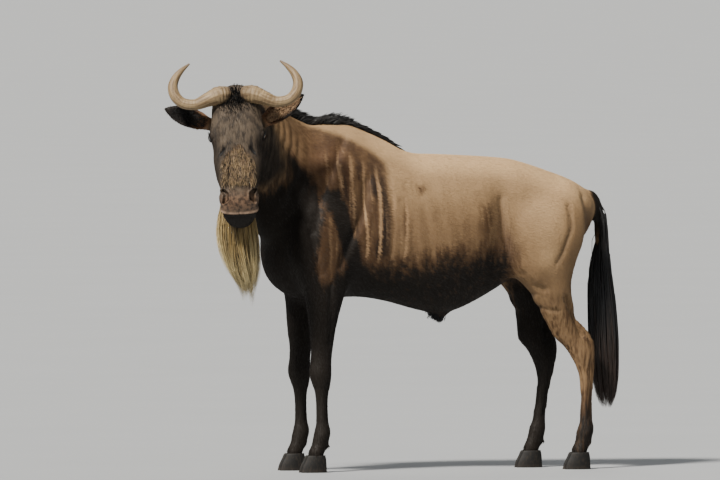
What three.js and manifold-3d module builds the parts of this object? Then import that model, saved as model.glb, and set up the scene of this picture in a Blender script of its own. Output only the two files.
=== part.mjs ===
import * as THREE from "three";
import { mergeVertices } from "three/addons/utils/BufferGeometryUtils.js";
import Module from "manifold-3d";

// A white-bearded wildebeest bull at life size, standing square and looking to its left.
// Millimetres, +Z up. The body lies along X with the chest towards -X, so the animal's left side is -Y.
// Tables of stations give each form the way a museum sculptor would take it: a place along the part,
// then the sizes of the section there. Smooth curves run through the rows.

const wasm = await Module();
wasm.setup();

const GAP = 0.3; // clearance between pieces that touch
const WITHERS = 1295; // height of the back over the shoulders
const CORONET = 64; // height of the hoof where the skin of the leg starts
const LEG_SPREAD = 110; // half the distance between a pair of feet
const FAR_FORE_STEP = 12; // how far the right forefoot stands ahead of the left one
// The right hind leg stands further forward: its hock is ahead and lower, and the shank slopes to the hoof.
const FAR_HIND = { hockStep: 70, hockDrop: 16, footStep: 116 };

const HEAD_AT = new THREE.Vector3(-783, -207, 1403); // the top of the neck, where the head's own frame starts
const HEAD_TURN = THREE.MathUtils.degToRad(72); // from straight ahead towards the animal's left
const HEAD_PITCH = THREE.MathUtils.degToRad(65); // the face below level
const HEAD_ROLL = THREE.MathUtils.degToRad(2); // the left side of the head is held a little higher

const EYE_RADIUS = 20;
const EYE_AT = [187, 84, 42]; // in the head's frame, mirrored for the right eye
const EYE_LOOK = new THREE.Vector3(0.28, 1, 0.3).normalize(); // out of the left eye
const LID_THICKNESS = 3.4;

const LOCK_THICKNESS = 5;
const MANE = { locks: 32, width: 42, root: 22 };
const BEARD_LOCKS = { outer: 14, inner: 5, width: 47, thickness: 8 };
const TAIL_LOCKS = { around: 6, width: 46, tiers: 2 };

const skyward = new THREE.Vector3(0, 0, 1);

// Numbers between rows

// A curve through the rows of a table that never swings past them. The first column is the place.
function curveThrough(rows) {
  const last = rows.length - 1;
  const slope = (i, c) => (rows[i + 1][c] - rows[i][c]) / (rows[i + 1][0] - rows[i][0]);
  const tangent = (i, c) => {
    if (i === 0) return slope(0, c);
    if (i === last) return slope(last - 1, c);
    const before = slope(i - 1, c);
    const after = slope(i, c);
    return before * after <= 0 ? 0 : (2 * before * after) / (before + after);
  };
  return (place) => {
    const found = rows.findIndex((row) => row[0] > place);
    const i = found < 0 ? last - 1 : Math.max(0, found - 1);
    const span = rows[i + 1][0] - rows[i][0];
    const t = THREE.MathUtils.clamp((place - rows[i][0]) / span, 0, 1);
    return rows[i].slice(1).map((value, k) => {
      const c = k + 1;
      const rise = rows[i + 1][c] - value;
      const startPull = tangent(i, c) * span;
      const endPull = tangent(i + 1, c) * span;
      const cubic = startPull + endPull - 2 * rise;
      const square = 3 * rise - 2 * startPull - endPull;
      return value + t * (startPull + t * (square + t * cubic));
    });
  };
}

// Places from one end to the other; crowding above 0 sets them closer near both ends, where forms round off.
function places(from, to, count, crowding = 0) {
  return Array.from({ length: count + 1 }, (_, i) => {
    const t = i / count;
    return from + (to - from) * (t - (crowding * Math.sin(2 * Math.PI * t)) / (2 * Math.PI));
  });
}

// A sine or cosine drawn towards a fuller or a leaner oval; 1 leaves a plain ellipse.
const leaned = (value, power) => Math.sign(value) * Math.abs(value) ** power;

const around = (sides) => Array.from({ length: sides }, (_, i) => (2 * Math.PI * i) / sides);

// Repeatable random numbers from -1 to 1.
function dice(seed) {
  let state = seed;
  return () => {
    state = (state * 1664525 + 1013904223) % 4294967296;
    return state / 2147483648 - 1;
  };
}

// Solids

// One closed solid from points and triangles, whichever way round they were listed.
function closedSolid(points, triangles) {
  const vertProperties = new Float32Array(points.flatMap((p) => p.toArray()));
  const build = (list) =>
    new wasm.Manifold(new wasm.Mesh({ numProp: 3, vertProperties, triVerts: new Uint32Array(list.flat()) }));
  const made = build(triangles);
  return made.volume() > 0 ? made : build(triangles.map(([a, b, c]) => [a, c, b]));
}

// A skin over a row of rings of equal length, with a fan over each end.
function loft(rings) {
  const sides = rings[0].length;
  const middle = (ring) => ring.reduce((sum, p) => sum.add(p), new THREE.Vector3()).divideScalar(sides);
  const points = [...rings.flat(), middle(rings[0]), middle(rings.at(-1))];
  const front = points.length - 2;
  const back = points.length - 1;
  const lastRing = (rings.length - 1) * sides;
  const triangles = [];
  for (let s = 0; s < sides; s++) {
    const next = (s + 1) % sides;
    triangles.push([front, next, s], [back, lastRing + s, lastRing + next]);
    for (let r = 0; r < lastRing; r += sides) {
      triangles.push([r + s, r + next, r + sides + s], [r + next, r + sides + next, r + sides + s]);
    }
  }
  return closedSolid(points, triangles);
}

// A three.js geometry as a solid.
function solidOf(geometry) {
  const bare = geometry.clone();
  bare.deleteAttribute("normal");
  bare.deleteAttribute("uv");
  const merged = mergeVertices(bare, 1e-3);
  const place = merged.attributes.position;
  const pointAt = (_, i) => new THREE.Vector3().fromBufferAttribute(place, i);
  const points = Array.from({ length: place.count }, pointAt);
  const list = Array.from(merged.index.array);
  const triangles = Array.from({ length: list.length / 3 }, (_, i) => list.slice(3 * i, 3 * i + 3));
  return closedSolid(points, triangles);
}

const fuse = (solids) => solids.reduce((sum, solid) => sum.add(solid));

// The largest closed body of a solid: a cut can leave loose scraps.
function mainBody(solid) {
  return solid.decompose().reduce((best, body) => (body.volume() > best.volume() ? body : best));
}

// A polygon in one plane drawn out to a slab: corners are [a, b] pairs, and put says where they lie.
function prism(corners, depth, put) {
  const shape = new THREE.Shape(corners.map(([a, b]) => new THREE.Vector2(a, b)));
  const geometry = new THREE.ExtrudeGeometry(shape, { depth: 2 * depth, bevelEnabled: false });
  geometry.translate(0, 0, -depth);
  return solidOf(geometry.applyMatrix4(put));
}

// The part of a solid inside a region, and the part outside it, a gap apart.
function split(whole, region, regionWithGap) {
  return [mainBody(whole.intersect(region)), mainBody(whole.subtract(regionWithGap))];
}

// A round bar of changing width along a row of points, each [x, y, z, radius].
function taperedBar(rows, sides, count, put = new THREE.Matrix4()) {
  const centres = rows.map(([x, y, z]) => new THREE.Vector3(x, y, z));
  const line = new THREE.CatmullRomCurve3(centres, false, "centripetal");
  const radius = curveThrough(rows.map((row, i) => [i / (rows.length - 1), row[3]]));
  const frames = line.computeFrenetFrames(count, false);
  const rings = places(0, count, count).map((step) => {
    const centre = line.getPoint(step / count);
    const [r] = radius(step / count);
    return around(sides).map((angle) =>
      centre
        .clone()
        .addScaledVector(frames.normals[step], r * Math.cos(angle))
        .addScaledVector(frames.binormals[step], r * Math.sin(angle))
        .applyMatrix4(put),
    );
  });
  return loft(rings);
}

// One lock of hair: a flat blade along a bent line, widest past its root, drawn out to a thin tip.
const LOCK_SHAPE = [
  [0, 0.8, 1],
  [0.3, 1, 1],
  [0.65, 0.72, 0.8],
  [1, 0.06, 0.2],
];
function lock(line, faceOut, width, thickness = LOCK_THICKNESS) {
  const rings = LOCK_SHAPE.map(([t, wide, thick]) => {
    const at = line.getPoint(t);
    const along = line.getTangent(t);
    const side = new THREE.Vector3().crossVectors(faceOut, along).normalize();
    const out = new THREE.Vector3().crossVectors(along, side);
    return [[1, 0], [0, 1], [-1, 0], [0, -1]].map(([s, o]) =>
      at
        .clone()
        .addScaledVector(side, (s * wide * width) / 2)
        .addScaledVector(out, (o * thick * thickness) / 2),
    );
  });
  return loft(rings);
}

// Sculptor's strokes: each pushes the surface near a point by a soft amount.
// A stroke is { at, reach, push }, all in the frame of the points that it works on.
function sculpt(point, strokes) {
  const moved = point.clone();
  for (const { at, reach, push } of strokes) {
    const away = [point.x - at[0], point.y - at[1], point.z - at[2]];
    const far = away.reduce((sum, d, i) => sum + (d / reach[i]) ** 2, 0);
    if (far < 9) moved.addScaledVector(new THREE.Vector3(...push), Math.exp(-far));
  }
  return moved;
}

// The same strokes on both sides of the middle plane.
const bothSides = (strokes) =>
  strokes.flatMap(({ at: [x, y, z], reach, push: [px, py, pz] }) => [
    { at: [x, y, z], reach, push: [px, py, pz] },
    { at: [x, -y, z], reach, push: [px, -py, pz] },
  ]);

// Torso

// place along X, back line, belly line, half width, height of the widest point, lean above, lean below
const TRUNK = [
  [-612, 905, 770, 36, 845, 1, 1],
  [-596, 985, 725, 82, 850, 1, 1],
  [-560, 1075, 680, 122, 880, 1, 1],
  [-500, 1205, 645, 158, 930, 1.1, 1],
  [-430, 1287, 632, 180, 950, 1.25, 1],
  [-360, WITHERS, 632, 192, 950, 1.3, 1],
  [-300, WITHERS, 641, 197, 940, 1.3, 0.95],
  [-215, 1265, 637, 203, 925, 1.2, 0.9],
  [-137, 1228, 627, 209, 905, 1.05, 0.88],
  [-78, 1196, 612, 213, 885, 0.95, 0.88],
  [-20, 1181, 596, 216, 870, 0.92, 0.88],
  [50, 1179, 583, 217, 860, 0.9, 0.9],
  [120, 1176, 590, 215, 865, 0.9, 0.92],
  [196, 1172, 620, 207, 880, 0.9, 0.95],
  [274, 1167, 662, 193, 905, 0.9, 0.95],
  [340, 1160, 700, 180, 935, 0.92, 1],
  [411, 1142, 730, 172, 950, 0.95, 1],
  [489, 1116, 762, 162, 950, 0.95, 1],
  [567, 1088, 800, 140, 950, 0.95, 1],
  [625, 1058, 850, 108, 955, 1, 1],
  [660, 1025, 905, 70, 965, 1, 1],
  [676, 990, 940, 28, 965, 1, 1],
];
const TRUNK_SIDES = 26;
const TRUNK_RINGS = 25;
const TRUNK_STROKES = bothSides([
  { at: [330, 148, 1120], reach: [40, 45, 36], push: [0, 6, 7] }, // point of the hip
  { at: [285, 190, 1010], reach: [60, 60, 90], push: [0, -13, 0] }, // hollow of the flank
  { at: [-235, 190, 1030], reach: [50, 60, 150], push: [0, -7, 0] }, // behind the shoulder blade
  { at: [-330, 170, 1130], reach: [45, 50, 110], push: [0, 7, 0] }, // shoulder blade
  { at: [-240, 60, 640], reach: [70, 60, 40], push: [0, 0, 6] }, // behind the elbow
]);
const SHEATH = { at: [72, 0, 585], size: [46, 20, 22] };

function trunk(grow = 0) {
  const section = curveThrough(TRUNK);
  const rings = places(TRUNK[0][0], TRUNK.at(-1)[0], TRUNK_RINGS, 0.7).map((x) => {
    const [back, belly, half, widest, above, below] = section(x);
    return around(TRUNK_SIDES).map((angle) => {
      const rise = Math.sin(angle);
      const height = rise > 0 ? back - widest : widest - belly;
      const y = (half + grow) * leaned(Math.cos(angle), rise > 0 ? above : below);
      return sculpt(new THREE.Vector3(x, y, widest + (height + grow) * rise), TRUNK_STROKES);
    });
  });
  return loft(rings);
}

// Neck

// share of the way from trunk to head, middle (x, y, z), half height, half width
const NECK = [
  [0, -360, 0, 985, 275, 150],
  [0.22, -470, -8, 1055, 250, 138],
  [0.42, -570, -38, 1140, 205, 118],
  [0.62, -652, -84, 1220, 168, 100],
  [0.82, -722, -145, 1290, 140, 90],
  [1, -765, -190, 1325, 120, 82],
];
const NECK_SIDES = 22;
const NECK_RINGS = 10;

function neck() {
  const section = curveThrough(NECK);
  const middle = (t) => new THREE.Vector3(...section(t).slice(0, 3));
  const rings = places(0, 1, NECK_RINGS).map((t) => {
    const ahead = middle(Math.min(1, t + 0.02)).sub(middle(Math.max(0, t - 0.02))).normalize();
    const side = new THREE.Vector3().crossVectors(skyward, ahead).normalize();
    const up = new THREE.Vector3().crossVectors(ahead, side).normalize();
    const [, , , high, wide] = section(t);
    return around(NECK_SIDES).map((angle) =>
      middle(t)
        .addScaledVector(side, wide * leaned(Math.cos(angle), Math.sin(angle) > 0 ? 1.2 : 0.95))
        .addScaledVector(up, high * Math.sin(angle)),
    );
  });
  return loft(rings);
}

// Legs

// height, middle x, middle y as a share of the spread, half depth, half width, narrowing behind
const FORELEG = [
  [CORONET, -446, 1, 33, 34, 0],
  [80, -441, 1, 31, 33, 0],
  [105, -430, 1, 28, 29, 0],
  [128, -421, 1, 34, 32, 0],
  [150, -417, 1, 34, 31, 0],
  [178, -416, 1, 27, 25, 0],
  [245, -417, 1, 26, 23, 0],
  [300, -419, 1, 30, 27, 0],
  [335, -422, 1, 39, 35, 0],
  [372, -425, 1, 45, 40, 0],
  [408, -423, 1, 42, 38, 0],
  [450, -420, 1.01, 43, 37, 0],
  [500, -419, 1.03, 48, 41, 0],
  [560, -418, 1.08, 57, 46, 0],
  [620, -416, 1.13, 69, 52, 0],
  [680, -415, 1.18, 86, 58, 0],
  [730, -422, 1.22, 104, 63, 0],
  [800, -436, 1.26, 124, 66, 0],
  [900, -424, 1.26, 130, 66, 0],
  [1000, -385, 1.16, 118, 58, 0],
  [1110, -345, 0.9, 84, 46, 0],
  [1190, -325, 0.6, 50, 28, 0],
];
const HINDLEG = [
  [CORONET, 586, 1, 33, 33, 0],
  [80, 590, 1, 31, 31, 0],
  [105, 600, 1, 28, 28, 0],
  [128, 609, 1, 34, 31, 0],
  [150, 613, 1, 34, 30, 0],
  [178, 616, 1, 27, 24, 0],
  [260, 617, 1, 26, 22, 0],
  [325, 617, 1, 28, 24, 0],
  [373, 614, 1, 36, 29, 0.1],
  [410, 606, 1, 46, 33, 0.25],
  [440, 598, 1, 57, 35, 0.45],
  [465, 588, 1, 68, 35, 0.6],
  [490, 567, 1, 78, 36, 0.65],
  [530, 540, 1.02, 74, 39, 0.6],
  [565, 512, 1.04, 66, 43, 0.35],
  [600, 497, 1.07, 71, 47, 0.2],
  [640, 478, 1.1, 79, 53, 0.1],
  [680, 456, 1.14, 94, 59, 0],
  [720, 432, 1.18, 122, 64, 0],
  [780, 416, 1.22, 152, 70, 0],
  [860, 426, 1.22, 172, 74, 0],
  [940, 440, 1.14, 172, 72, 0],
  [1010, 452, 0.96, 150, 60, 0],
  [1060, 462, 0.7, 118, 44, 0],
  [1095, 468, 0.38, 66, 26, 0],
];
const LEG_SIDES = 12;
const LEG_RINGS = 23;
const KNEE = 372;
const HOCK = 440;

// How far a leg is moved forward and down at each height: [height, forward, down].
const SQUARE = curveThrough([[0, 0, 0], [1300, 0, 0]]);
const STEPPED_FORE = curveThrough([
  [0, FAR_FORE_STEP, 0],
  [500, FAR_FORE_STEP, 0],
  [720, -8, 0],
  [900, 0, 0],
  [1300, 0, 0],
]);
const STEPPED_HIND = curveThrough([
  [0, FAR_HIND.footStep, 0],
  [90, FAR_HIND.footStep, 0],
  [440, FAR_HIND.hockStep + 6, FAR_HIND.hockDrop],
  [490, FAR_HIND.hockStep - 4, FAR_HIND.hockDrop],
  [600, 18, 9],
  [700, 4, 3],
  [900, 0, 0],
  [1300, 0, 0],
]);

// side is -1 on the left and 1 on the right.
function leg({ table, side, stance }) {
  const section = curveThrough(table);
  const [lowest, highest] = [table[0][0], table.at(-1)[0]];
  const rings = places(lowest, highest, LEG_RINGS, 0.25).map((z) => {
    const [x, spread, deep, wide, narrowing] = section(z);
    const [forward, down] = stance(z);
    return around(LEG_SIDES).map((angle) => {
      const behind = Math.max(0, Math.cos(angle));
      const half = wide * leaned(Math.sin(angle), 0.9) * (1 - narrowing * behind);
      const y = side * spread * LEG_SPREAD + half;
      return new THREE.Vector3(x - forward + deep * leaned(Math.cos(angle), 0.9), y, z - down);
    });
  });
  return loft(rings);
}

// Hooves: two claws side by side, joined at the heel, with two dew claws above them

const HOOF = { length: 98, height: CORONET - GAP, clawWidth: 34, cleft: 5 };
// share of the height, share of the length, share of the width
const CLAW = [
  [0, 1, 1],
  [0.3, 0.96, 1],
  [0.7, 0.82, 0.95],
  [1, 0.7, 0.86],
];
const CLAW_SIDES = 10;

function claw(heelX, y, inner) {
  const section = curveThrough(CLAW);
  const rings = places(0, 1, 3).map((share) => {
    const [long, wide] = section(share);
    return around(CLAW_SIDES).map((angle) => {
      const ahead = (1 - Math.cos(angle)) / 2;
      const outline = leaned(Math.sin(angle), 0.75) * (1 - 0.45 * ahead ** 2.5);
      const bow = 5 * inner * ahead ** 2;
      return new THREE.Vector3(
        heelX - 2 - 3 * share - HOOF.length * long * ahead,
        y + bow + (HOOF.clawWidth / 2) * wide * outline,
        HOOF.height * share,
      );
    });
  });
  return loft(rings);
}

function hoof({ table, side, stance }) {
  const [ankleX] = curveThrough(table)(CORONET);
  const heelX = ankleX - stance(0)[0] + 42;
  const y = side * LEG_SPREAD;
  const apart = (HOOF.clawWidth + HOOF.cleft) / 2;
  const claws = [-1, 1].map((way) => claw(heelX, y + way * apart, -way));
  const bulb = loft(
    places(8, HOOF.height - 0.5, 3).map((z) =>
      around(CLAW_SIDES).map(
        (angle) => new THREE.Vector3(heelX - 26 + 24 * Math.cos(angle), y + 28 * Math.sin(angle), z),
      ),
    ),
  );
  return fuse([...claws, bulb]);
}

// Two small horny buds behind the pastern.
function dewClaws({ table, side, stance }) {
  const height = 104;
  const [x, , deep] = curveThrough(table)(height);
  return fuse(
    [-1, 1].map((way) => {
      const y = side * LEG_SPREAD + 14 * way;
      const back = x - stance(height)[0] + deep;
      const bud = [
        [back - 14, y, height + 10, 11],
        [back + 1, y, height, 10],
        [back + 10, y, height - 14, 5],
      ];
      return taperedBar(bud, 6, 3);
    }),
  );
}

// Head

const headTurn = new THREE.Vector3(-Math.cos(HEAD_TURN), -Math.sin(HEAD_TURN), 0);
const headLeft = new THREE.Vector3().crossVectors(skyward, headTurn);
const headPut = (() => {
  const ahead = Math.cos(HEAD_PITCH);
  const down = Math.sin(HEAD_PITCH);
  const along = headTurn.clone().multiplyScalar(ahead).addScaledVector(skyward, -down);
  const out = headTurn.clone().multiplyScalar(down).addScaledVector(skyward, ahead);
  return new THREE.Matrix4()
    .makeRotationAxis(headTurn, HEAD_ROLL)
    .multiply(new THREE.Matrix4().makeBasis(along, new THREE.Vector3().crossVectors(out, along), out))
    .setPosition(HEAD_AT);
})();
const inSideView = new THREE.Matrix4().makeBasis(
  new THREE.Vector3(1, 0, 0),
  new THREE.Vector3(0, 0, 1),
  new THREE.Vector3(0, -1, 0),
);

// place from the nape to the lips, brow line, level of the widest point, throat line,
// half width above, half width below
const HEAD = [
  [-35, 15, -20, -60, 34, 28],
  [0, 62, 0, -95, 76, 58],
  [45, 92, 10, -130, 92, 70],
  [100, 100, 15, -158, 98, 74],
  [145, 101, 18, -168, 100, 74],
  [187, 98, 22, -163, 101, 70],
  [230, 91, 18, -148, 100, 64],
  [280, 85, 12, -128, 97, 60],
  [335, 80, 4, -112, 89, 56],
  [385, 75, -4, -104, 78, 52],
  [425, 64, -10, -100, 73, 50],
  [455, 50, -16, -97, 71, 49],
  [475, 27, -22, -94, 67, 46],
  [488, 2, -34, -90, 58, 42],
  [500, -22, -46, -82, 44, 34],
  [508, -40, -54, -68, 18, 14],
];
const HEAD_SIDES = 26;
const HEAD_RINGS = 29;
const HEAD_STROKES = bothSides([
  { at: [182, 98, 62], reach: [34, 26, 22], push: [-2, 9, 7] }, // brow over the eye
  { at: [190, 100, 18], reach: [30, 24, 16], push: [0, 5, 0] }, // below the eye
  { at: [240, 92, 55], reach: [30, 22, 24], push: [0, -5, -4] }, // hollow ahead of the eye
  { at: [150, 92, -85], reach: [60, 36, 45], push: [0, 6, 0] }, // cheek
  { at: [262, 58, 84], reach: [24, 15, 18], push: [0, 2, -6] }, // scent gland below the eye
  { at: [330, 40, 92], reach: [60, 34, 24], push: [0, 0, 4] }, // broad bridge of the nose
  { at: [428, 70, 16], reach: [24, 20, 22], push: [0, 7, 4] }, // wing of the nostril
  { at: [385, 76, 10], reach: [22, 20, 40], push: [0, -4, 0] }, // behind the nostril
  { at: [462, 58, -16], reach: [24, 26, 14], push: [2, 4, 3] }, // upper lip
]);

function skull(grow = 0) {
  const section = curveThrough(HEAD);
  const rings = places(HEAD[0][0], HEAD.at(-1)[0], HEAD_RINGS, 0.5).map((x) => {
    const [brow, middle, throat, wideHigh, wideLow] = section(x);
    return around(HEAD_SIDES).map((angle) => {
      const rise = Math.sin(angle);
      const half = THREE.MathUtils.lerp(wideLow, wideHigh, THREE.MathUtils.smoothstep(rise, -0.8, 0.5));
      const height = rise > 0 ? brow - middle : middle - throat;
      const y = (half + grow) * leaned(Math.cos(angle), 0.75);
      const z = middle + (height + grow) * leaned(rise, 0.85);
      return sculpt(new THREE.Vector3(x, y, z), HEAD_STROKES).applyMatrix4(headPut);
    });
  });
  return loft(rings);
}

// The mouth: a narrow furrow from the front of the lips back to the corners.
const MOUTH = { corner: [385, -48], bend: [440, -32], front: [530, -4], width: 3.5, depth: 7 };
function mouthFurrow() {
  const { corner, bend, front, width, depth } = MOUTH;
  const line = [corner, bend, front];
  const corners = [...line, ...line.toReversed().map(([x, z]) => [x, z - width])];
  const slab = prism(corners, 120, headPut.clone().multiply(inSideView));
  return slab.subtract(skull(-depth));
}

// A nostril: a bent hollow like a comma, open to the front and the side.
const NOSTRIL = [
  [410, 66, 40, 5],
  [419, 58, 46, 9],
  [431, 50, 46, 12],
  [446, 49, 37, 12],
  [457, 57, 22, 8],
];
const nostril = (side) =>
  taperedBar(NOSTRIL.map(([x, y, z, r]) => [x, side * y, z, r]), 8, 5, headPut);

// A point near the eyeball: along the opening between the lids, across it, and out from the centre.
function nearEye(side, along, across, reach) {
  const out = EYE_LOOK.clone();
  const forward = new THREE.Vector3(1, 0, 0).addScaledVector(out, -out.x).normalize();
  const up = new THREE.Vector3().crossVectors(forward, out).multiplyScalar(-1);
  const depth = Math.sqrt(Math.max(0.02, 1 - along ** 2 - across ** 2));
  const at = new THREE.Vector3(...EYE_AT)
    .addScaledVector(forward, along * reach)
    .addScaledVector(up, -across * reach)
    .addScaledVector(out, depth * reach);
  return [at.x, side * at.y, at.z];
}

// The two lids: arcs over and under the eyeball that meet at its corners.
function lids(side) {
  const arc = (high) =>
    [-1, -0.6, 0, 0.6, 1].map((along) => [
      ...nearEye(side, 0.82 * along, high * (1 - along ** 2), EYE_RADIUS + 0.5),
      LID_THICKNESS * (1.25 - 0.3 * Math.abs(along)),
    ]);
  return fuse([arc(0.52), arc(-0.5)].map((rows) => taperedBar(rows, 5, 6, headPut)));
}

function eye(side, radius) {
  const [x, y, z] = EYE_AT;
  const at = new THREE.Vector3(x, side * y, z).applyMatrix4(headPut);
  return solidOf(new THREE.SphereGeometry(radius, 12, 8).translate(at.x, at.y, at.z));
}

// middle line of the left horn and its radius, from the boss to the tip
const HORN = [
  [38, 16, 80, 24],
  [37, 34, 86, 33],
  [41, 62, 91, 34],
  [56, 102, 92, 27],
  [73, 150, 89, 20.5],
  [66, 196, 91, 19.5],
  [41, 222, 96, 20],
  [6, 231, 103, 18.5],
  [-26, 220, 109, 15],
  [-54, 198, 113, 10],
  [-80, 167, 116, 3],
];
const HORN_SIDES = 11;
const HORN_RINGS = 18;
const horn = (side) =>
  taperedBar(HORN.map(([x, y, z, r]) => [x, side * y, z, r]), HORN_SIDES, HORN_RINGS, headPut);

// Ears: a leaf-shaped cup along a line from its root to its tip
const EARS = {
  left: { root: [118, 84, -8], tip: [11, 249, 6] },
  right: { root: [118, -84, -8], tip: [46, -264, 0] },
};
// share of the length, half width, half depth
const EAR = [
  [0, 22, 20],
  [0.15, 25, 23],
  [0.35, 34, 24],
  [0.55, 36, 20],
  [0.75, 29, 14],
  [0.9, 16, 8],
  [1, 3, 3],
];
const EAR_SIDES = 10;
const EAR_WALL = 5;
const EAR_CUP = { from: 0.2, to: 0.93, lift: 13 };
const EAR_OPENING = new THREE.Vector3(0.5, 0, 0.86);

function ear({ root, tip }) {
  const start = new THREE.Vector3(...root);
  const end = new THREE.Vector3(...tip);
  const along = end.clone().sub(start).normalize();
  const across = new THREE.Vector3().crossVectors(EAR_OPENING, along).normalize();
  const open = new THREE.Vector3().crossVectors(along, across).normalize();
  const length = start.distanceTo(end);
  const section = curveThrough(EAR);
  const leaf = (from, to, wall, lift) =>
    loft(
      places(from, to, 8, 0.4).map((t) => {
        const [wide, deep] = section(t).map((size) => Math.max(1.5, size - wall));
        return around(EAR_SIDES).map((angle) =>
          start
            .clone()
            .addScaledVector(along, t * length)
            .addScaledVector(across, wide * Math.cos(angle))
            .addScaledVector(open, lift + deep * Math.sin(angle))
            .applyMatrix4(headPut),
        );
      }),
    );
  return leaf(0, 1, 0, 0).subtract(leaf(EAR_CUP.from, EAR_CUP.to, EAR_WALL, EAR_CUP.lift));
}

// Beard: locks that hang from the chin, the jaw and the throat round a short core

// height, middle ahead of the top of the head and to its left, half length along the jaw, half width
const BEARD = [
  [675, 16, 44, 10, 10],
  [715, 20, 36, 42, 38],
  [780, 24, 20, 66, 62],
  [860, 28, 6, 84, 75],
  [930, 30, 0, 92, 70],
  [1000, 12, 0, 76, 56],
  [1080, -18, 0, 46, 44],
  [1165, -46, 0, 16, 20],
];
const BEARD_CORE = { top: 1160, bottom: 880, inset: 8 };

const onBeard = curveThrough(BEARD);
function beardPoint(z, angle, inset = 0) {
  const [ahead, aside, long, wide] = onBeard(z);
  return new THREE.Vector3(HEAD_AT.x, HEAD_AT.y, z)
    .addScaledVector(headTurn, ahead + Math.max(2, long - inset) * Math.cos(angle))
    .addScaledVector(headLeft, aside + Math.max(2, wide - inset) * Math.sin(angle));
}

// The jaw's lower edge over a point of the beard: the hair can root nowhere higher.
const jawHeight = curveThrough([[-69, 1165], [40, 1052], [89, 976], [115, 933], [137, 915]]);

function beardLock(angle, root, tip, inset, random) {
  const line = new THREE.CatmullRomCurve3(
    places(root, tip, 4).map((z, i) => beardPoint(z, angle + 0.04 * i * random(), inset + (i === 0 ? 14 : 0))),
  );
  const out = beardPoint(860, angle).sub(beardPoint(860, angle, 40)).normalize();
  const width = BEARD_LOCKS.width * (1 + 0.15 * random());
  return lock(line, out, width, BEARD_LOCKS.thickness);
}

function beard() {
  const random = dice(11);
  const { top, bottom, inset } = BEARD_CORE;
  const core = loft(places(bottom, top, 5).map((z) => around(12).map((angle) => beardPoint(z, angle, inset))));
  const outer = around(BEARD_LOCKS.outer).map((angle, i) => {
    const [ahead, , long] = onBeard(940);
    const root = jawHeight(ahead + long * Math.cos(angle))[0] + 18;
    const tip = 715 + 26 * random() - 20 * Math.sin(angle);
    return beardLock(angle, root, tip, 5 * (i % 2), random);
  });
  const inner = around(BEARD_LOCKS.inner).map((angle) =>
    beardLock(angle, bottom + 40, 682 + 8 * random(), 34, random),
  );
  return fuse([core, ...outer, ...inner]);
}

// Mane: locks along the crest, upright behind the ears and lying back over the withers

// The top line from behind the horns along the neck and the withers.
const crestLine = (() => {
  const onNeck = curveThrough(NECK);
  const middle = (t) => new THREE.Vector3(...onNeck(t).slice(0, 3));
  const neckTop = [0.97, 0.82, 0.66, 0.5, 0.38].map((t) => {
    const ahead = middle(Math.min(1, t + 0.02)).sub(middle(t - 0.02)).normalize();
    const side = new THREE.Vector3().crossVectors(skyward, ahead).normalize();
    return middle(t).addScaledVector(new THREE.Vector3().crossVectors(ahead, side), onNeck(t)[3]);
  });
  const onTrunk = curveThrough(TRUNK);
  const trunkTop = [-360, -300, -215, -137, -90].map((x) => new THREE.Vector3(x, 0, onTrunk(x)[0]));
  return new THREE.CatmullRomCurve3([...neckTop, ...trunkTop], false, "centripetal");
})();

// share of the crest, height of the hair, how far it lies back
const MANE_LIE = curveThrough([
  [0, 6, 16],
  [0.12, 24, 24],
  [0.25, 42, 28],
  [0.5, 46, 34],
  [0.69, 32, 52],
  [0.85, 20, 62],
  [1, 8, 60],
]);

function crestFrame(t) {
  const along = crestLine.getTangentAt(t);
  const side = new THREE.Vector3().crossVectors(skyward, along).normalize();
  return { at: crestLine.getPointAt(t), along, side, up: new THREE.Vector3().crossVectors(along, side) };
}

function mane() {
  const random = dice(5);
  const locks = places(0.05, 0.95, MANE.locks - 1).map((t, i) => {
    const { at, along, side, up } = crestFrame(t);
    const [high, back] = MANE_LIE(t);
    const lean = (i % 2 ? 1 : -1) * (5 + 1.5 * random());
    const grown = 1 + 0.12 * random();
    const root = at.clone().addScaledVector(up, -MANE.root).addScaledVector(side, lean);
    const bend = at.clone().addScaledVector(up, 0.75 * high * grown).addScaledVector(side, 1.5 * lean);
    const tip = at
      .clone()
      .addScaledVector(up, high * grown)
      .addScaledVector(along, back * grown)
      .addScaledVector(side, 2.8 * lean);
    return lock(new THREE.QuadraticBezierCurve3(root, bend, tip), side, MANE.width);
  });
  return fuse(locks);
}

// Tail: a fleshy dock, then long locks round it

const TAIL = [
  [640, 0, 1020, 30],
  [672, 0, 1012, 29],
  [697, 0, 965, 27],
  [703, 0, 880, 29],
  [706, 0, 760, 34],
  [714, 0, 620, 46],
  [722, 0, 480, 52],
  [728, 0, 360, 46],
  [732, 0, 270, 32],
  [734, 0, 212, 8],
];
const DOCK_END = 560; // height where the flesh inside the tail ends

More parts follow.
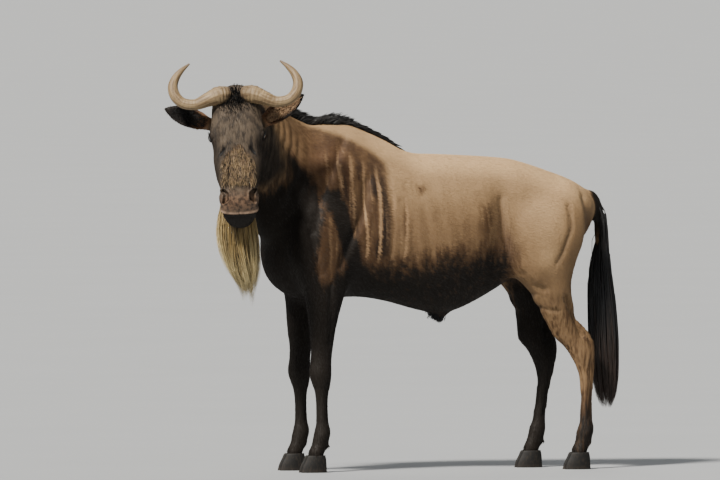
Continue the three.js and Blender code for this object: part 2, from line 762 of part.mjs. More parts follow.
function tail() {
  const random = dice(23);
  const envelope = curveThrough(TAIL.toReversed().map(([x, , z, r]) => [z, x, r]));
  const dock = TAIL.filter(([, , z]) => z > 700).map(([x, y, z, r]) => [x, y, z, z > 960 ? r : r - 8]);
  const core = taperedBar([...dock, [713, 0, 640, 20], [718, 0, DOCK_END, 9]], 10, 12);
  const locks = [];
  for (let tier = 0; tier < TAIL_LOCKS.tiers; tier++) {
    const top = 975 - 250 * tier;
    for (const step of around(TAIL_LOCKS.around)) {
      const angle = step + tier * 0.4 + 0.12 * random();
      const bottom = [400, 250][tier] + 34 * random();
      const point = (z, inset) => {
        const [x, r] = envelope(z);
        const reach = Math.max(2, r - inset);
        return new THREE.Vector3(x + reach * Math.cos(angle), reach * Math.sin(angle), z);
      };
      const line = new THREE.CatmullRomCurve3(
        places(top, bottom, 4).map((z, i) => point(z, i === 0 ? 14 : 6 * tier + 3 * random())),
      );
      const out = new THREE.Vector3(Math.cos(angle), Math.sin(angle), 0);
      locks.push(lock(line, out, TAIL_LOCKS.width * (1 + 0.15 * random()), LOCK_THICKNESS + 2));
    }
  }
  return fuse([core, ...locks]);
}

// Parting the body

const acrossBody = new THREE.Matrix4().makeBasis(
  new THREE.Vector3(0, 1, 0),
  new THREE.Vector3(0, 0, 1),
  new THREE.Vector3(1, 0, 0),
);

// The space that holds one leg: below a plane that rises outwards, on one side of the body.
function legSpace({ side, at, inside, outside }, gap) {
  const corners = [
    [side * 4, -40],
    [side * 4, inside - 30 + gap],
    [side * 60, inside + gap],
    [side * 330, outside + gap],
    [side * 330, -40],
  ];
  return prism(corners, 290, new THREE.Matrix4().makeTranslation(at, 0, 0).multiply(acrossBody));
}

const legBelow = ({ side, at }, height) =>
  solidOf(new THREE.BoxGeometry(900, 400, 400).translate(at, side * 204, height - 200));

// The space that holds the head, drawn in its own side view.
function headSpace(gap) {
  const corners = [
    [-200, 110 - gap],
    [-45, -10 - gap],
    [140, -178 - gap],
    [200, -240 - gap],
    [620, -240 - gap],
    [620, 260],
    [-200, 260],
  ];
  return prism(corners, 330, headPut.clone().multiply(inSideView));
}

// The space ahead of the shoulders, which holds the neck.
function neckSpace(gap) {
  const corners = [
    [-2000, -300],
    [-520 + gap, -300],
    [-520 + gap, 900],
    [-330 + gap, 1450],
    [-2000, 1450],
  ];
  return prism(corners, 700, inSideView);
}

// Assembly

const FINISHES = {
  body: { color: 0x8c745c, roughness: 0.8, metalness: 0 },
  neck: { color: 0x4a382c, roughness: 0.8, metalness: 0 },
  face: { color: 0x3a332e, roughness: 0.8, metalness: 0 },
  leg: { color: 0x44352b, roughness: 0.8, metalness: 0 },
  horn: { color: 0xc4ad8c, roughness: 0.5, metalness: 0 },
  hoof: { color: 0x2a2622, roughness: 0.55, metalness: 0 },
  eye: { color: 0x16100c, roughness: 0.15, metalness: 0 },
  tail: { color: 0x1e1d1f, roughness: 0.7, metalness: 0 },
};

const animal = new THREE.Group();
const headGroup = new THREE.Group();
headGroup.applyMatrix4(headPut);
animal.add(headGroup);

// Hangs a solid, given in the animal's frame, in a group, with its own middle as its pivot.
function add(name, solid, finish, group = animal) {
  const { vertProperties, triVerts, numProp, numVert } = solid.getMesh();
  const place = new Float32Array(numVert * 3);
  for (let i = 0; i < numVert; i++) place.set(vertProperties.subarray(i * numProp, i * numProp + 3), i * 3);
  const geometry = new THREE.BufferGeometry()
    .setAttribute("position", new THREE.BufferAttribute(place, 3))
    .setIndex(new THREE.BufferAttribute(triVerts, 1));
  if (group !== animal) geometry.applyMatrix4(group.matrix.clone().invert());
  geometry.computeVertexNormals();
  geometry.computeBoundingBox();
  const pivot = geometry.boundingBox.getCenter(new THREE.Vector3()).round();
  geometry.translate(-pivot.x, -pivot.y, -pivot.z);
  const mesh = new THREE.Mesh(geometry, new THREE.MeshStandardMaterial(FINISHES[finish]));
  mesh.name = name;
  mesh.position.copy(pivot);
  group.add(mesh);
}

const FORE = { table: FORELEG, at: -430, inside: 640, outside: 790, joint: KNEE };
const HIND = { table: HINDLEG, at: 470, inside: 735, outside: 860, joint: HOCK };
const LEGS = [
  { ...FORE, name: "foreleg_left", side: -1, stance: SQUARE },
  { ...FORE, name: "foreleg_right", side: 1, stance: STEPPED_FORE },
  { ...HIND, name: "hindleg_left", side: -1, stance: SQUARE },
  { ...HIND, name: "hindleg_right", side: 1, stance: STEPPED_HIND, at: 440, joint: HOCK - FAR_HIND.hockDrop },
];

let flesh = fuse([
  trunk(),
  neck(),
  skull(),
  mane(),
  solidOf(new THREE.SphereGeometry(1, 14, 8).scale(...SHEATH.size).translate(...SHEATH.at)),
  ...LEGS.map(leg),
]);

for (const one of LEGS) {
  const [whole, rest] = split(flesh, legSpace(one, 0), legSpace(one, GAP));
  const [lower, upper] = split(whole, legBelow(one, one.joint), legBelow(one, one.joint + GAP));
  const group = new THREE.Group();
  group.position.set(one.at, one.side * LEG_SPREAD, 0);
  group.updateMatrix();
  animal.add(group);
  add(`${one.name}_upper`, upper, "leg", group);
  add(`${one.name}_lower`, mainBody(lower.add(dewClaws(one))), "leg", group);
  add(`${one.name}_hoof`, hoof(one), "hoof", group);
  flesh = rest;
}

const [headFlesh, body] = split(flesh, headSpace(0), headSpace(GAP));
const beardForm = beard();
const sides = [["left", 1], ["right", -1]];
const sockets = sides.map(([, side]) => eye(side, EYE_RADIUS + GAP));
const hollows = fuse([mouthFurrow(), ...sockets, ...sides.map(([, side]) => nostril(side))]);
const face = fuse([headFlesh, beardForm, ...sides.map(([, side]) => lids(side))]);
add("head", mainBody(face.subtract(hollows)), "face", headGroup);

const keepClear = fuse([skull(GAP), beardForm]);
for (const [name, side] of sides) {
  add(`eye_${name}`, eye(side, EYE_RADIUS), "eye", headGroup);
  add(`horn_${name}`, mainBody(horn(side).subtract(keepClear)), "horn", headGroup);
  add(`ear_${name}`, mainBody(ear(EARS[name]).subtract(keepClear)), "face", headGroup);
}

const [neckFlesh, torso] = split(body, neckSpace(0), neckSpace(GAP));
add("neck", neckFlesh, "neck");
add("torso", torso, "body");
add("tail", mainBody(tail().subtract(trunk(GAP))), "tail");

const box = new THREE.Box3().setFromObject(animal, true);
animal.position.set(-(box.min.x + box.max.x) / 2, -(box.min.y + box.max.y) / 2, -box.min.z);

export default animal;
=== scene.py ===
"""A white-bearded wildebeest bull at life size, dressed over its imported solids.

One skin is modelled from the same tables of sizes as the solids, with the folds, lids, nostrils and lips that the
solids only hint at. A short coat of small tufts lies on it, and long locks make the mane, the beard and the tail.

Sizes in the tables are millimetres in the modeller's own frame; ``Place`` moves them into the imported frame.
"""

import logging
import math
from collections.abc import Sequence
from dataclasses import dataclass, field
from enum import Enum

import bmesh
import bpy
import numpy as np
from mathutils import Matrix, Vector
from mathutils.bvhtree import BVHTree


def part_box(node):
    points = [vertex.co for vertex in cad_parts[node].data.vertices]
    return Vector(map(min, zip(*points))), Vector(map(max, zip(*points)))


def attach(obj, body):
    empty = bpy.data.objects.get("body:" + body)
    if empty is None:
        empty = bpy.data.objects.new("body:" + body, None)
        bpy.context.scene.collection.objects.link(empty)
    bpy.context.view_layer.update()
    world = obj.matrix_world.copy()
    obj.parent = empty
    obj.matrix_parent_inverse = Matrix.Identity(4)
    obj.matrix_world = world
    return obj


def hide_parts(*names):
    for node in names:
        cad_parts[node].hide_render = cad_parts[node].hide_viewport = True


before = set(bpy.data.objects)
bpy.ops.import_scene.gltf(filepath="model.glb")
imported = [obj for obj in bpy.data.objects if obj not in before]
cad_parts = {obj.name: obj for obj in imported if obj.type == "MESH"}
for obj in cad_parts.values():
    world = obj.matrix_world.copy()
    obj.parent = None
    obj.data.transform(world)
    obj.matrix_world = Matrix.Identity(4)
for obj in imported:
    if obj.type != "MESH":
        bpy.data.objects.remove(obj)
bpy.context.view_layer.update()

log = logging.getLogger("wildebeest")

Array = np.ndarray
Rows = Sequence[Sequence[float]]
Stroke = tuple[Sequence[float], Sequence[float], Sequence[float]]
Point = tuple[float, float, float]
Colour = tuple[float, ...]
Piece = bpy.types.Object
Mesh = bpy.types.Mesh
Material = bpy.types.Material
Socket = bpy.types.NodeSocket

MM = 0.001
SKY = np.array([0.0, 0.0, 1.0])
WITHERS = 1295
CORONET = 64
LEG_SPREAD = 110


# Numbers and places


class Curve:
    """A smooth curve through the rows of a table that never swings past them; the first column is the place."""

    def __init__(self, rows: Rows) -> None:
        """Works out the slopes at the rows.

        Args:
            rows: the table, in order of place.
        """
        self.rows = np.array(rows, float)
        slope = np.diff(self.rows[:, 1:], axis=0) / np.diff(self.rows[:, :1], axis=0)
        before, after = slope[:-1], slope[1:]
        same_way = before * after > 0
        inner = np.where(same_way, 2 * before * after / np.where(same_way, before + after, 1), 0)
        self.tangent = np.vstack([slope[:1], inner, slope[-1:]])

    def __call__(self, place: float | Array) -> Array:
        """Works out the values at places.

        Args:
            place: one or more places.

        Returns:
            One row of values for each place.
        """
        place = np.atleast_1d(np.asarray(place, float))
        knots = self.rows[:, 0]
        i = np.clip(np.searchsorted(knots, place, side="right") - 1, 0, len(knots) - 2)
        span = (knots[i + 1] - knots[i])[:, None]
        t = np.clip((place[:, None] - knots[i][:, None]) / span, 0, 1)
        start, end = self.rows[i, 1:], self.rows[i + 1, 1:]
        pull, push = self.tangent[i] * span, self.tangent[i + 1] * span
        rise = end - start
        return start + t * (pull + t * (3 * rise - 2 * pull - push + t * (pull + push - 2 * rise)))


def places(low: float, high: float, count: int, crowding: float = 0.0) -> Array:
    """Places from one end to the other, closer together near both ends where crowding is above 0."""
    t = np.linspace(0, 1, count + 1)
    return low + (high - low) * (t - crowding * np.sin(2 * np.pi * t) / (2 * np.pi))


def around(sides: int) -> Array:
    """Angles of a full turn."""
    return 2 * np.pi * np.arange(sides) / sides


def leaned(value: Array, power: float | Array) -> Array:
    """A sine or cosine drawn towards a fuller or a leaner oval."""
    return np.sign(value) * np.abs(value) ** power


def ramp(value: Array, low: float, high: float) -> Array:
    """0 at low, 1 at high, and smooth between; high may be the lower of the two."""
    t = np.clip((value - low) / (high - low), 0, 1)
    return t * t * (3 - 2 * t)


def unit(vectors: Array) -> Array:
    """The same directions at length 1."""
    return vectors / np.maximum(np.linalg.norm(vectors, axis=-1, keepdims=True), 1e-9)


def spot(points: Array, at: Sequence[float], reach: Sequence[float]) -> Array:
    """A soft spot: 1 at its middle and fading over its reach."""
    away = (points - np.asarray(at, float)) / np.asarray(reach, float)
    return np.exp(-np.sum(away * away, axis=-1))


def off_line(points: Array, line: Rows) -> Array:
    """How far points are from a line of straight stretches.

    Args:
        points: places in two or three coordinates.
        line: the corners of the line, in the same ones.

    Returns:
        The square of each distance.
    """
    rows = np.array(line, float)
    best = np.full(len(points), 1e9)
    for start, end in zip(rows[:-1], rows[1:], strict=True):
        span = end - start
        t = np.clip((points - start) @ span / (span @ span), 0, 1)
        best = np.minimum(best, np.sum((points - start - t[:, None] * span) ** 2, axis=1))
    return best


def sculpt(points: Array, strokes: Sequence[Stroke]) -> Array:
    """Pushes points near each stroke by a soft amount.

    Args:
        points: places, in the frame of the strokes.
        strokes: for each one its middle, its reach and its push.

    Returns:
        The moved places.
    """
    moved = points.copy()
    for at, reach, push in strokes:
        moved += spot(points, at, reach)[..., None] * np.asarray(push, float)
    return moved


def both_sides(strokes: Sequence[Stroke]) -> list[Stroke]:
    """The same strokes on both sides of the middle plane."""
    flip = np.array([1, -1, 1])
    return [s for at, reach, push in strokes for s in ((at, reach, push), (flip * at, reach, flip * push))]


@dataclass(frozen=True)
class HeadFrame:
    """Where the head's own frame stands: x from the nape to the lips, y to the animal's left, z out of the brow."""

    at: Point = (-783, -207, 1403)
    turn: float = 72
    pitch: float = 65
    roll: float = 2

    @property
    def ahead(self) -> Array:
        """Level direction in which the face looks."""
        turn = math.radians(self.turn)
        return np.array([-math.cos(turn), -math.sin(turn), 0])

    @property
    def left(self) -> Array:
        """Level direction to the left of the head."""
        return np.cross(SKY, self.ahead)

    @property
    def axes(self) -> Array:
        """The three axes as columns."""
        c, s = math.cos(math.radians(self.pitch)), math.sin(math.radians(self.pitch))
        along, out = self.ahead * c - SKY * s, self.ahead * s + SKY * c
        k, angle = self.ahead, math.radians(self.roll)
        cross = np.array([[0, -k[2], k[1]], [k[2], 0, -k[0]], [-k[1], k[0], 0]])
        roll = np.eye(3) + math.sin(angle) * cross + (1 - math.cos(angle)) * cross @ cross
        return roll @ np.column_stack([along, np.cross(out, along), out])

    def put(self, points: Array) -> Array:
        """From the head's frame to the animal's."""
        return np.asarray(points, float) @ self.axes.T + np.array(self.at)

    def seen(self, points: Array) -> Array:
        """From the animal's frame to the head's."""
        return (points - np.array(self.at)) @ self.axes


HEAD = HeadFrame()
EYE_AT = np.array([187.0, 84.0, 42.0])
EYE_RADIUS = 20
EYE_LOOK = unit(np.array([0.28, 1, 0.3]))


class Place:
    """Moves the modeller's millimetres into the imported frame's metres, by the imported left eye."""

    def __init__(self) -> None:
        """Finds the shift."""
        low, high = (np.array(corner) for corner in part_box("eye_left"))
        self.shift = (low + high) / 2 - HEAD.put(EYE_AT) * MM

    def into(self, points: Array) -> Array:
        """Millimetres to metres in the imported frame."""
        return points * MM + self.shift

    def back(self, points: Array) -> Array:
        """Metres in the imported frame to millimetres."""
        return (points - self.shift) / MM


PLACE = Place()


# Meshes


@dataclass
class Shell:
    """Points in millimetres and the faces between them."""

    points: Array
    faces: list[tuple[int, ...]]

    @staticmethod
    def loft(rings: Array) -> "Shell":
        """A closed skin over a row of rings, with a fan over each end.

        Args:
            rings: rings of points, as many in each.

        Returns:
            The closed shell.
        """
        count, sides = rings.shape[:2]
        points = np.vstack([rings.reshape(-1, 3), rings[0].mean(0), rings[-1].mean(0)])
        ring = np.arange(count * sides).reshape(count, sides)
        after = np.roll(ring, -1, axis=1)
        quads = np.stack([ring[:-1], after[:-1], after[1:], ring[1:]], -1).reshape(-1, 4)
        front = np.stack([np.full(sides, count * sides), after[0], ring[0]], -1)
        rear = np.stack([np.full(sides, count * sides + 1), ring[-1], after[-1]], -1)
        return Shell(points, [tuple(f) for part in (quads, front, rear) for f in part.tolist()])

    def joined(self, other: "Shell") -> "Shell":
        """Both shells in one list of points.

        Args:
            other: the shell to add.

        Returns:
            One shell with the faces of both.
        """
        shift = len(self.points)
        moved = [tuple(i + shift for i in face) for face in other.faces]
        return Shell(np.vstack([self.points, other.points]), self.faces + moved)

    def tree(self) -> BVHTree:
        """A search tree, in millimetres."""
        return BVHTree.FromPolygons(self.points.tolist(), self.faces)

    def object(self, name: str) -> Piece:
        """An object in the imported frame, with its faces turned outwards.

        Args:
            name: the object's name.

        Returns:
            The object.
        """
        mesh = bpy.data.meshes.new(name)
        mesh.from_pydata(PLACE.into(self.points).tolist(), [], self.faces)
        turned = bmesh.new()
        turned.from_mesh(mesh)
        bmesh.ops.recalc_face_normals(turned, faces=turned.faces)
        turned.to_mesh(mesh)
        turned.free()
        return linked(name, mesh)


def linked(name: str, data: bpy.types.ID) -> Piece:
    """A new object in the scene.

    Args:
        name: its name.
        data: its mesh, camera or lamp.

    Returns:
        The object.
    """
    made = bpy.data.objects.new(name, data)
    bpy.context.scene.collection.objects.link(made)
    return made


def read(items: bpy.types.bpy_prop_collection, key: str, size: int = 1, kind: type = np.float32) -> Array:
    """What a mesh's points, corners, edges or faces hold.

    Args:
        items: the points, corners, edges or faces, or the data of an attribute.
        key: the name of what they hold.
        size: how many numbers each of them holds.
        kind: the kind of number.

    Returns:
        A row of numbers for each, or one number where size is 1.
    """
    flat = np.zeros(len(items) * size, kind)
    items.foreach_get(key, flat)
    rows = flat.reshape(-1, size).astype(int if kind is np.int32 else float)
    return rows[:, 0] if size == 1 else rows


def places_of(mesh: Mesh) -> Array:
    """A mesh's points, as they are."""
    return read(mesh.vertices, "co", 3)


def normals_of(mesh: Mesh) -> Array:
    """Which way each point of a mesh faces."""
    return read(mesh.vertices, "normal", 3)


def set_places(mesh: Mesh, points: Array) -> None:
    """Moves a mesh's points."""
    mesh.vertices.foreach_set("co", points.astype(np.float32).ravel())
    mesh.update()


def note(mesh: Mesh, name: str, values: Array) -> None:
    """Stores a number or a direction for each point under a name.

    Args:
        mesh: where it is stored.
        name: the name.
        values: one number or direction for each point.
    """
    kind, key = ("FLOAT_VECTOR", "vector") if values.ndim == 2 else ("FLOAT", "value")
    attribute = mesh.attributes.get(name) or mesh.attributes.new(name, kind, "POINT")
    attribute.data.foreach_set(key, values.astype(np.float32).ravel())


def applied(owner: Piece) -> Mesh:
    """The mesh that an object's modifiers make, as a plain mesh; the modifiers are then removed.

    Args:
        owner: the object.

    Returns:
        The new mesh, which the object then has.
    """
    depsgraph = bpy.context.evaluated_depsgraph_get()
    mesh = bpy.data.meshes.new_from_object(owner.evaluated_get(depsgraph), depsgraph=depsgraph)
    owner.modifiers.clear()
    old, owner.data = owner.data, mesh
    bpy.data.meshes.remove(old)
    mesh.name = owner.name
    return mesh


def remeshed(owner: Piece, voxel: float) -> Mesh:
    """Melts the overlapping shells of an object into one even skin; voxel is in metres.

    Args:
        owner: the object.
        voxel: size of the steps, in metres.

    Returns:
        The object's new mesh.
    """
    modifier = owner.modifiers.new("melt", "REMESH")
    modifier.mode = "VOXEL"
    modifier.voxel_size = voxel
    return applied(owner)


def boolean(owner: Piece, other: Piece, operation: str) -> Mesh:
    """Joins another solid to an object or cuts it out; the other one is removed.

    Args:
        owner: the object.
        other: the solid.
        operation: UNION or DIFFERENCE.

    Returns:
        The object's new mesh.
    """
    modifier = owner.modifiers.new("joint", "BOOLEAN")
    modifier.operation = operation
    modifier.solver = "MANIFOLD"
    modifier.object = other
    mesh = applied(owner)
    bpy.data.objects.remove(other)
    return mesh


def finished(owner: Piece, finish: Material) -> Piece:
    """Shades an object's faces smooth and gives it its one material.

    Args:
        owner: the piece.
        finish: its material.

    Returns:
        The piece.
    """
    owner.data.polygons.foreach_set("use_smooth", [True] * len(owner.data.polygons))
    owner.data.materials.clear()
    owner.data.materials.append(finish)
    return owner


class Net:
    """The edges of a mesh, for smoothing what its points hold."""

    def __init__(self, mesh: Mesh) -> None:
        """Reads the edges.

        Args:
            mesh: the mesh.
        """
        ends = read(mesh.edges, "vertices", 2, np.int32)
        self.a, self.b = ends.T
        self.count = len(mesh.vertices)
        self.degree = np.maximum(np.bincount(ends.ravel(), minlength=self.count), 1)

    def mean(self, values: Array) -> Array:
        """The mean of each point's neighbours.

        Args:
            values: a number or a row for each point.

        Returns:
            The means, in the same form.
        """
        columns = values.reshape(self.count, -1).T
        total = [
            np.bincount(self.a, column[self.b], self.count) + np.bincount(self.b, column[self.a], self.count)
            for column in columns
        ]
        return (np.stack(total, -1) / self.degree[:, None]).reshape(values.shape)

    def relax(self, points: Array, amount: Array, rounds: int) -> Array:
        """Moves points towards their neighbours' mean, by an amount from 0 to 1 at each point.

        Args:
            points: places.
            amount: from 0 to 1 for each.
            rounds: how many times.

        Returns:
            The moved places.
        """
        for _ in range(rounds):
            points = points + 0.5 * amount[:, None] * (self.mean(points) - points)
        return points

    def fillet(self, points: Array, normals: Array, spread: int, rounds: int) -> Array:
        """Fills the creases where two forms meet, and leaves the rest alone.

        Args:
            points: places.
            normals: which way they face.
            spread: rings of faces round a crease.
            rounds: how many times it relaxes.

        Returns:
            The moved places.
        """
        hollow = np.sum((self.mean(points) - points) * normals, axis=1)
        amount = np.clip(hollow / 0.8, 0, 1)
        for _ in range(spread):
            amount = np.maximum(amount, self.mean(amount))
        return self.relax(points, np.clip(1.4 * amount, 0, 1), rounds)


def bar(rows: Rows, sides: int, count: int) -> Array:
    """Rings of a round bar of changing width along a smooth line.

    Args:
        rows: for each point of the line x, y, z and the radius there.
        sides: points in a ring.
        count: steps along the line.

    Returns:
        The rings.
    """
    table = np.array(rows, float)
    spline = Spline(table[:, :3])
    radius = Curve(np.column_stack([np.linspace(0, 1, len(table)), table[:, 3]]))
    t = np.linspace(0, 1, count + 1)
    at, along = spline.at(t), spline.along(t)
    side = unit(np.cross(along[0], [0.31, 0.2, 0.93]))
    rings = []
    for centre, way, r in zip(at, along, radius(t)[:, 0], strict=True):
        side = unit(side - way * np.dot(side, way))
        up = np.cross(way, side)
        angle = around(sides)[:, None]
        rings.append(centre + r * (np.cos(angle) * side + np.sin(angle) * up))
    return np.array(rings)


class Spline:
    """A smooth line through points, evenly timed by its knots."""

    def __init__(self, points: Array) -> None:
        """Sets knots by the root of the distance, which keeps the line from looping.

        Args:
            points: the points on the line.
        """
        self.points = np.asarray(points, float)
        gaps = np.linalg.norm(np.diff(self.points, axis=0), axis=1) ** 0.5
        self.knots = np.concatenate([[0], np.cumsum(gaps)])
        self.slopes = np.gradient(self.points, self.knots, axis=0)

    def at(self, t: Array) -> Array:
        """Places along the line; t runs from 0 to 1 with equal shares between the given points.

        Args:
            t: shares of the line.

        Returns:
            A place for each share.
        """
        t = np.atleast_1d(t) * (len(self.points) - 1)
        i = np.clip(t.astype(int), 0, len(self.points) - 2)
        f = (t - i)[:, None]
        span = (self.knots[i + 1] - self.knots[i])[:, None]
        p, q = self.points[i], self.points[i + 1]
        m, n = self.slopes[i] * span, self.slopes[i + 1] * span
        return p + f * (m + f * (3 * (q - p) - 2 * m - n + f * (m + n - 2 * (q - p))))

    def along(self, t: Array) -> Array:
        """Directions along the line."""
        t = np.atleast_1d(t)
        return unit(self.at(np.clip(t + 0.004, 0, 1)) - self.at(np.clip(t - 0.004, 0, 1)))


# The forms of the flesh, from the same tables as the solids


@dataclass
class Trunk:
    """Chest, ribs, belly and rump. Each row is a place along the body, the back line, the belly line, the half
    width, the height of the widest point, and the lean of the oval above and below it."""

    table: Rows = (
        (-612, 905, 770, 36, 845, 1, 1), (-596, 985, 725, 82, 850, 1, 1), (-560, 1075, 680, 122, 880, 1, 1),
        (-500, 1205, 645, 158, 930, 1.1, 1), (-430, 1287, 632, 180, 950, 1.25, 1),
        (-360, WITHERS, 632, 192, 950, 1.3, 1), (-300, WITHERS, 641, 197, 940, 1.3, 0.95),
        (-215, 1265, 637, 203, 925, 1.2, 0.9), (-137, 1228, 627, 209, 905, 1.05, 0.88),
        (-78, 1196, 612, 213, 885, 0.95, 0.88), (-20, 1181, 596, 216, 870, 0.92, 0.88),
        (50, 1179, 583, 217, 860, 0.9, 0.9), (120, 1176, 590, 215, 865, 0.9, 0.92),
        (196, 1172, 620, 207, 880, 0.9, 0.95), (274, 1167, 662, 193, 905, 0.9, 0.95),
        (340, 1160, 700, 180, 935, 0.92, 1), (411, 1142, 730, 172, 950, 0.95, 1), (489, 1116, 762, 162, 950, 0.95, 1),
        (567, 1088, 800, 140, 950, 0.95, 1), (625, 1058, 850, 108, 955, 1, 1), (660, 1025, 905, 70, 965, 1, 1),
        (676, 990, 940, 28, 965, 1, 1),
    )
    strokes: Sequence[Stroke] = (
        ((330, 148, 1120), (40, 45, 36), (0, 6, 7)), ((285, 190, 1010), (60, 60, 90), (0, -13, 0)),
        ((-235, 190, 1030), (50, 60, 150), (0, -7, 0)), ((-330, 170, 1130), (45, 50, 110), (0, 7, 0)),
        ((-240, 60, 640), (70, 60, 40), (0, 0, 6)),
    )

    def back(self, x: Array) -> Array:
        """Height of the back at these places along it."""
        return Curve([row[:2] for row in self.table])(x)[:, 0]

    def shell(self, grow: float) -> Shell:
        """The trunk, larger by grow.

        Args:
            grow: millimetres to add.

        Returns:
            The closed shell.
        """
        x = places(self.table[0][0], self.table[-1][0], 90, 0.7)
        back, belly, half, widest, above, below = (c[:, None] for c in Curve(self.table)(x).T)
        angle = around(72)[None, :]
        rise = np.sin(angle)
        height = np.where(rise > 0, back - widest, widest - belly)
        y = (half + grow) * leaned(np.cos(angle), np.where(rise > 0, above, below))
        rings = np.stack([x[:, None] + 0 * y, y, widest + (height + grow) * rise], -1)
        return Shell.loft(sculpt(rings, both_sides(self.strokes)))

    def sheath(self) -> Shell:
        """The small swelling under the belly."""
        rows = ((34, 0, 596, 12), (60, 0, 586, 21), (88, 0, 580, 20), (112, 0, 584, 9))
        return Shell.loft(bar(rows, 20, 12))


@dataclass
class Neck:
    """Each row is the share of the way to the head, the middle, the half height and the half width."""

    table: Rows = (
        (0, -360, 0, 985, 275, 150), (0.22, -470, -8, 1055, 250, 138), (0.42, -570, -38, 1140, 205, 118),
        (0.62, -652, -84, 1220, 168, 100), (0.82, -722, -145, 1290, 140, 90), (1, -765, -190, 1325, 120, 82),
    )

    def frames(self, t: Array) -> tuple[Array, Array, Array, Array]:
        """For each share the middle, the way to the left, the way up, and the half height and width.

        Args:
            t: shares of the way to the head.

        Returns:
            The four values for each share.
        """
        section = Curve(self.table)
        rows = section(t)
        ahead = unit(section(np.clip(t + 0.02, 0, 1))[:, :3] - section(np.clip(t - 0.02, 0, 1))[:, :3])
        side = unit(np.cross(SKY, ahead))
        return rows[:, :3], side, unit(np.cross(ahead, side)), rows[:, 3:]

    def shell(self, grow: float) -> Shell:
        """The neck, larger by grow.

        Args:
            grow: millimetres to add.

        Returns:
            The closed shell.
        """
        middle, side, up, size = self.frames(np.linspace(0, 1, 41))
        angle = around(64)[None, :, None]
        lean = np.where(np.sin(angle) > 0, 1.2, 0.95)
        wide, high = (size[:, None, 1:] + grow), (size[:, None, :1] + grow)
        across = wide * leaned(np.cos(angle), lean) * side[:, None]
        return Shell.loft(middle[:, None] + across + high * np.sin(angle) * up[:, None])


class Stance(Enum):
    """How far a leg is moved forward and down at each height."""

    SQUARE = ((0, 0, 0), (1300, 0, 0))
    STEPPED_FORE = ((0, 12, 0), (500, 12, 0), (720, -8, 0), (900, 0, 0), (1300, 0, 0))
    STEPPED_HIND = (
        (0, 116, 0), (90, 116, 0), (440, 76, 16), (490, 66, 16), (600, 18, 9), (700, 4, 3), (900, 0, 0), (1300, 0, 0),
    )


FORELEG = (
    (CORONET, -446, 1, 33, 34, 0), (80, -441, 1, 31, 33, 0), (105, -430, 1, 28, 29, 0), (128, -421, 1, 34, 32, 0),
    (150, -417, 1, 34, 31, 0), (178, -416, 1, 27, 25, 0), (245, -417, 1, 26, 23, 0), (300, -419, 1, 30, 27, 0),
    (335, -422, 1, 39, 35, 0), (372, -425, 1, 45, 40, 0), (408, -423, 1, 42, 38, 0), (450, -420, 1.01, 43, 37, 0),
    (500, -419, 1.03, 48, 41, 0), (560, -418, 1.08, 57, 46, 0), (620, -416, 1.13, 69, 52, 0),
    (680, -415, 1.18, 86, 58, 0), (730, -422, 1.22, 104, 63, 0), (800, -436, 1.26, 124, 66, 0),
    (900, -424, 1.26, 130, 66, 0), (1000, -385, 1.16, 118, 58, 0), (1110, -345, 0.9, 84, 46, 0),
    (1190, -325, 0.6, 50, 28, 0),
)
HINDLEG = (
    (CORONET, 586, 1, 33, 33, 0), (80, 590, 1, 31, 31, 0), (105, 600, 1, 28, 28, 0), (128, 609, 1, 34, 31, 0),
    (150, 613, 1, 34, 30, 0), (178, 616, 1, 27, 24, 0), (260, 617, 1, 26, 22, 0), (325, 617, 1, 28, 24, 0),
    (373, 614, 1, 36, 29, 0.1), (410, 606, 1, 46, 33, 0.25), (440, 598, 1, 57, 35, 0.45), (465, 588, 1, 68, 35, 0.6),
    (490, 567, 1, 78, 36, 0.65), (530, 540, 1.02, 74, 39, 0.6), (565, 512, 1.04, 66, 43, 0.35),
    (600, 497, 1.07, 71, 47, 0.2), (640, 478, 1.1, 79, 53, 0.1), (680, 456, 1.14, 94, 59, 0),
    (720, 432, 1.18, 122, 64, 0), (780, 416, 1.22, 152, 70, 0), (860, 426, 1.22, 172, 74, 0),
    (940, 440, 1.14, 172, 72, 0), (1010, 452, 0.96, 150, 60, 0), (1060, 462, 0.7, 118, 44, 0),
    (1095, 468, 0.38, 66, 26, 0),
)


@dataclass
class Leg:
    """One leg. Each row of its table is a height, the middle along the body, the middle across as a share of the
    spread, the half depth, the half width and how much it narrows behind."""

    name: str
    table: Rows
    side: int
    stance: Stance

    def shell(self, grow: float) -> Shell:
        """The leg with its two dew claws, larger by grow and sunk a little into the hoof.

        Args:
            grow: millimetres to add.

        Returns:
            The closed shell.
        """
        low, high = self.table[0][0], self.table[-1][0]
        z = places(low, high, 110, 0.2)
        x, spread, deep, wide, narrowing = (c[:, None] for c in Curve(self.table)(z).T)
        forward, down = (c[:, None] for c in Curve(self.stance.value)(z).T)
        angle = around(48)[None, :]
        behind = np.maximum(0, np.cos(angle))
        half = (wide + grow) * leaned(np.sin(angle), 0.9) * (1 - narrowing * behind)
        y = self.side * spread * LEG_SPREAD + half
        depth = (deep + grow) * leaned(np.cos(angle), 0.9)
        rings = np.stack([x - forward + depth, y, z[:, None] - down + 0 * y], -1)
        rings[:3, :, 2] -= np.array([10, 8, 4])[:, None]
        made = Shell.loft(rings)
        for way in (-1, 1):
            made = made.joined(self.dew_claw(way))
        return made

    def dew_claw(self, way: int) -> Shell:
        """A small horny bud behind the pastern.

        Args:
            way: -1 or 1, the side of the leg.

        Returns:
            The closed shell.
        """
        height = 104
        x, _, deep, *_ = Curve(self.table)(height)[0]
        back = x - Curve(self.stance.value)(height)[0, 0] + deep
        y = self.side * LEG_SPREAD + 14 * way
        rows = ((back - 14, y, height + 10, 11), (back + 1, y, height, 10), (back + 10, y, height - 14, 5))
        return Shell.loft(bar(rows, 16, 8))


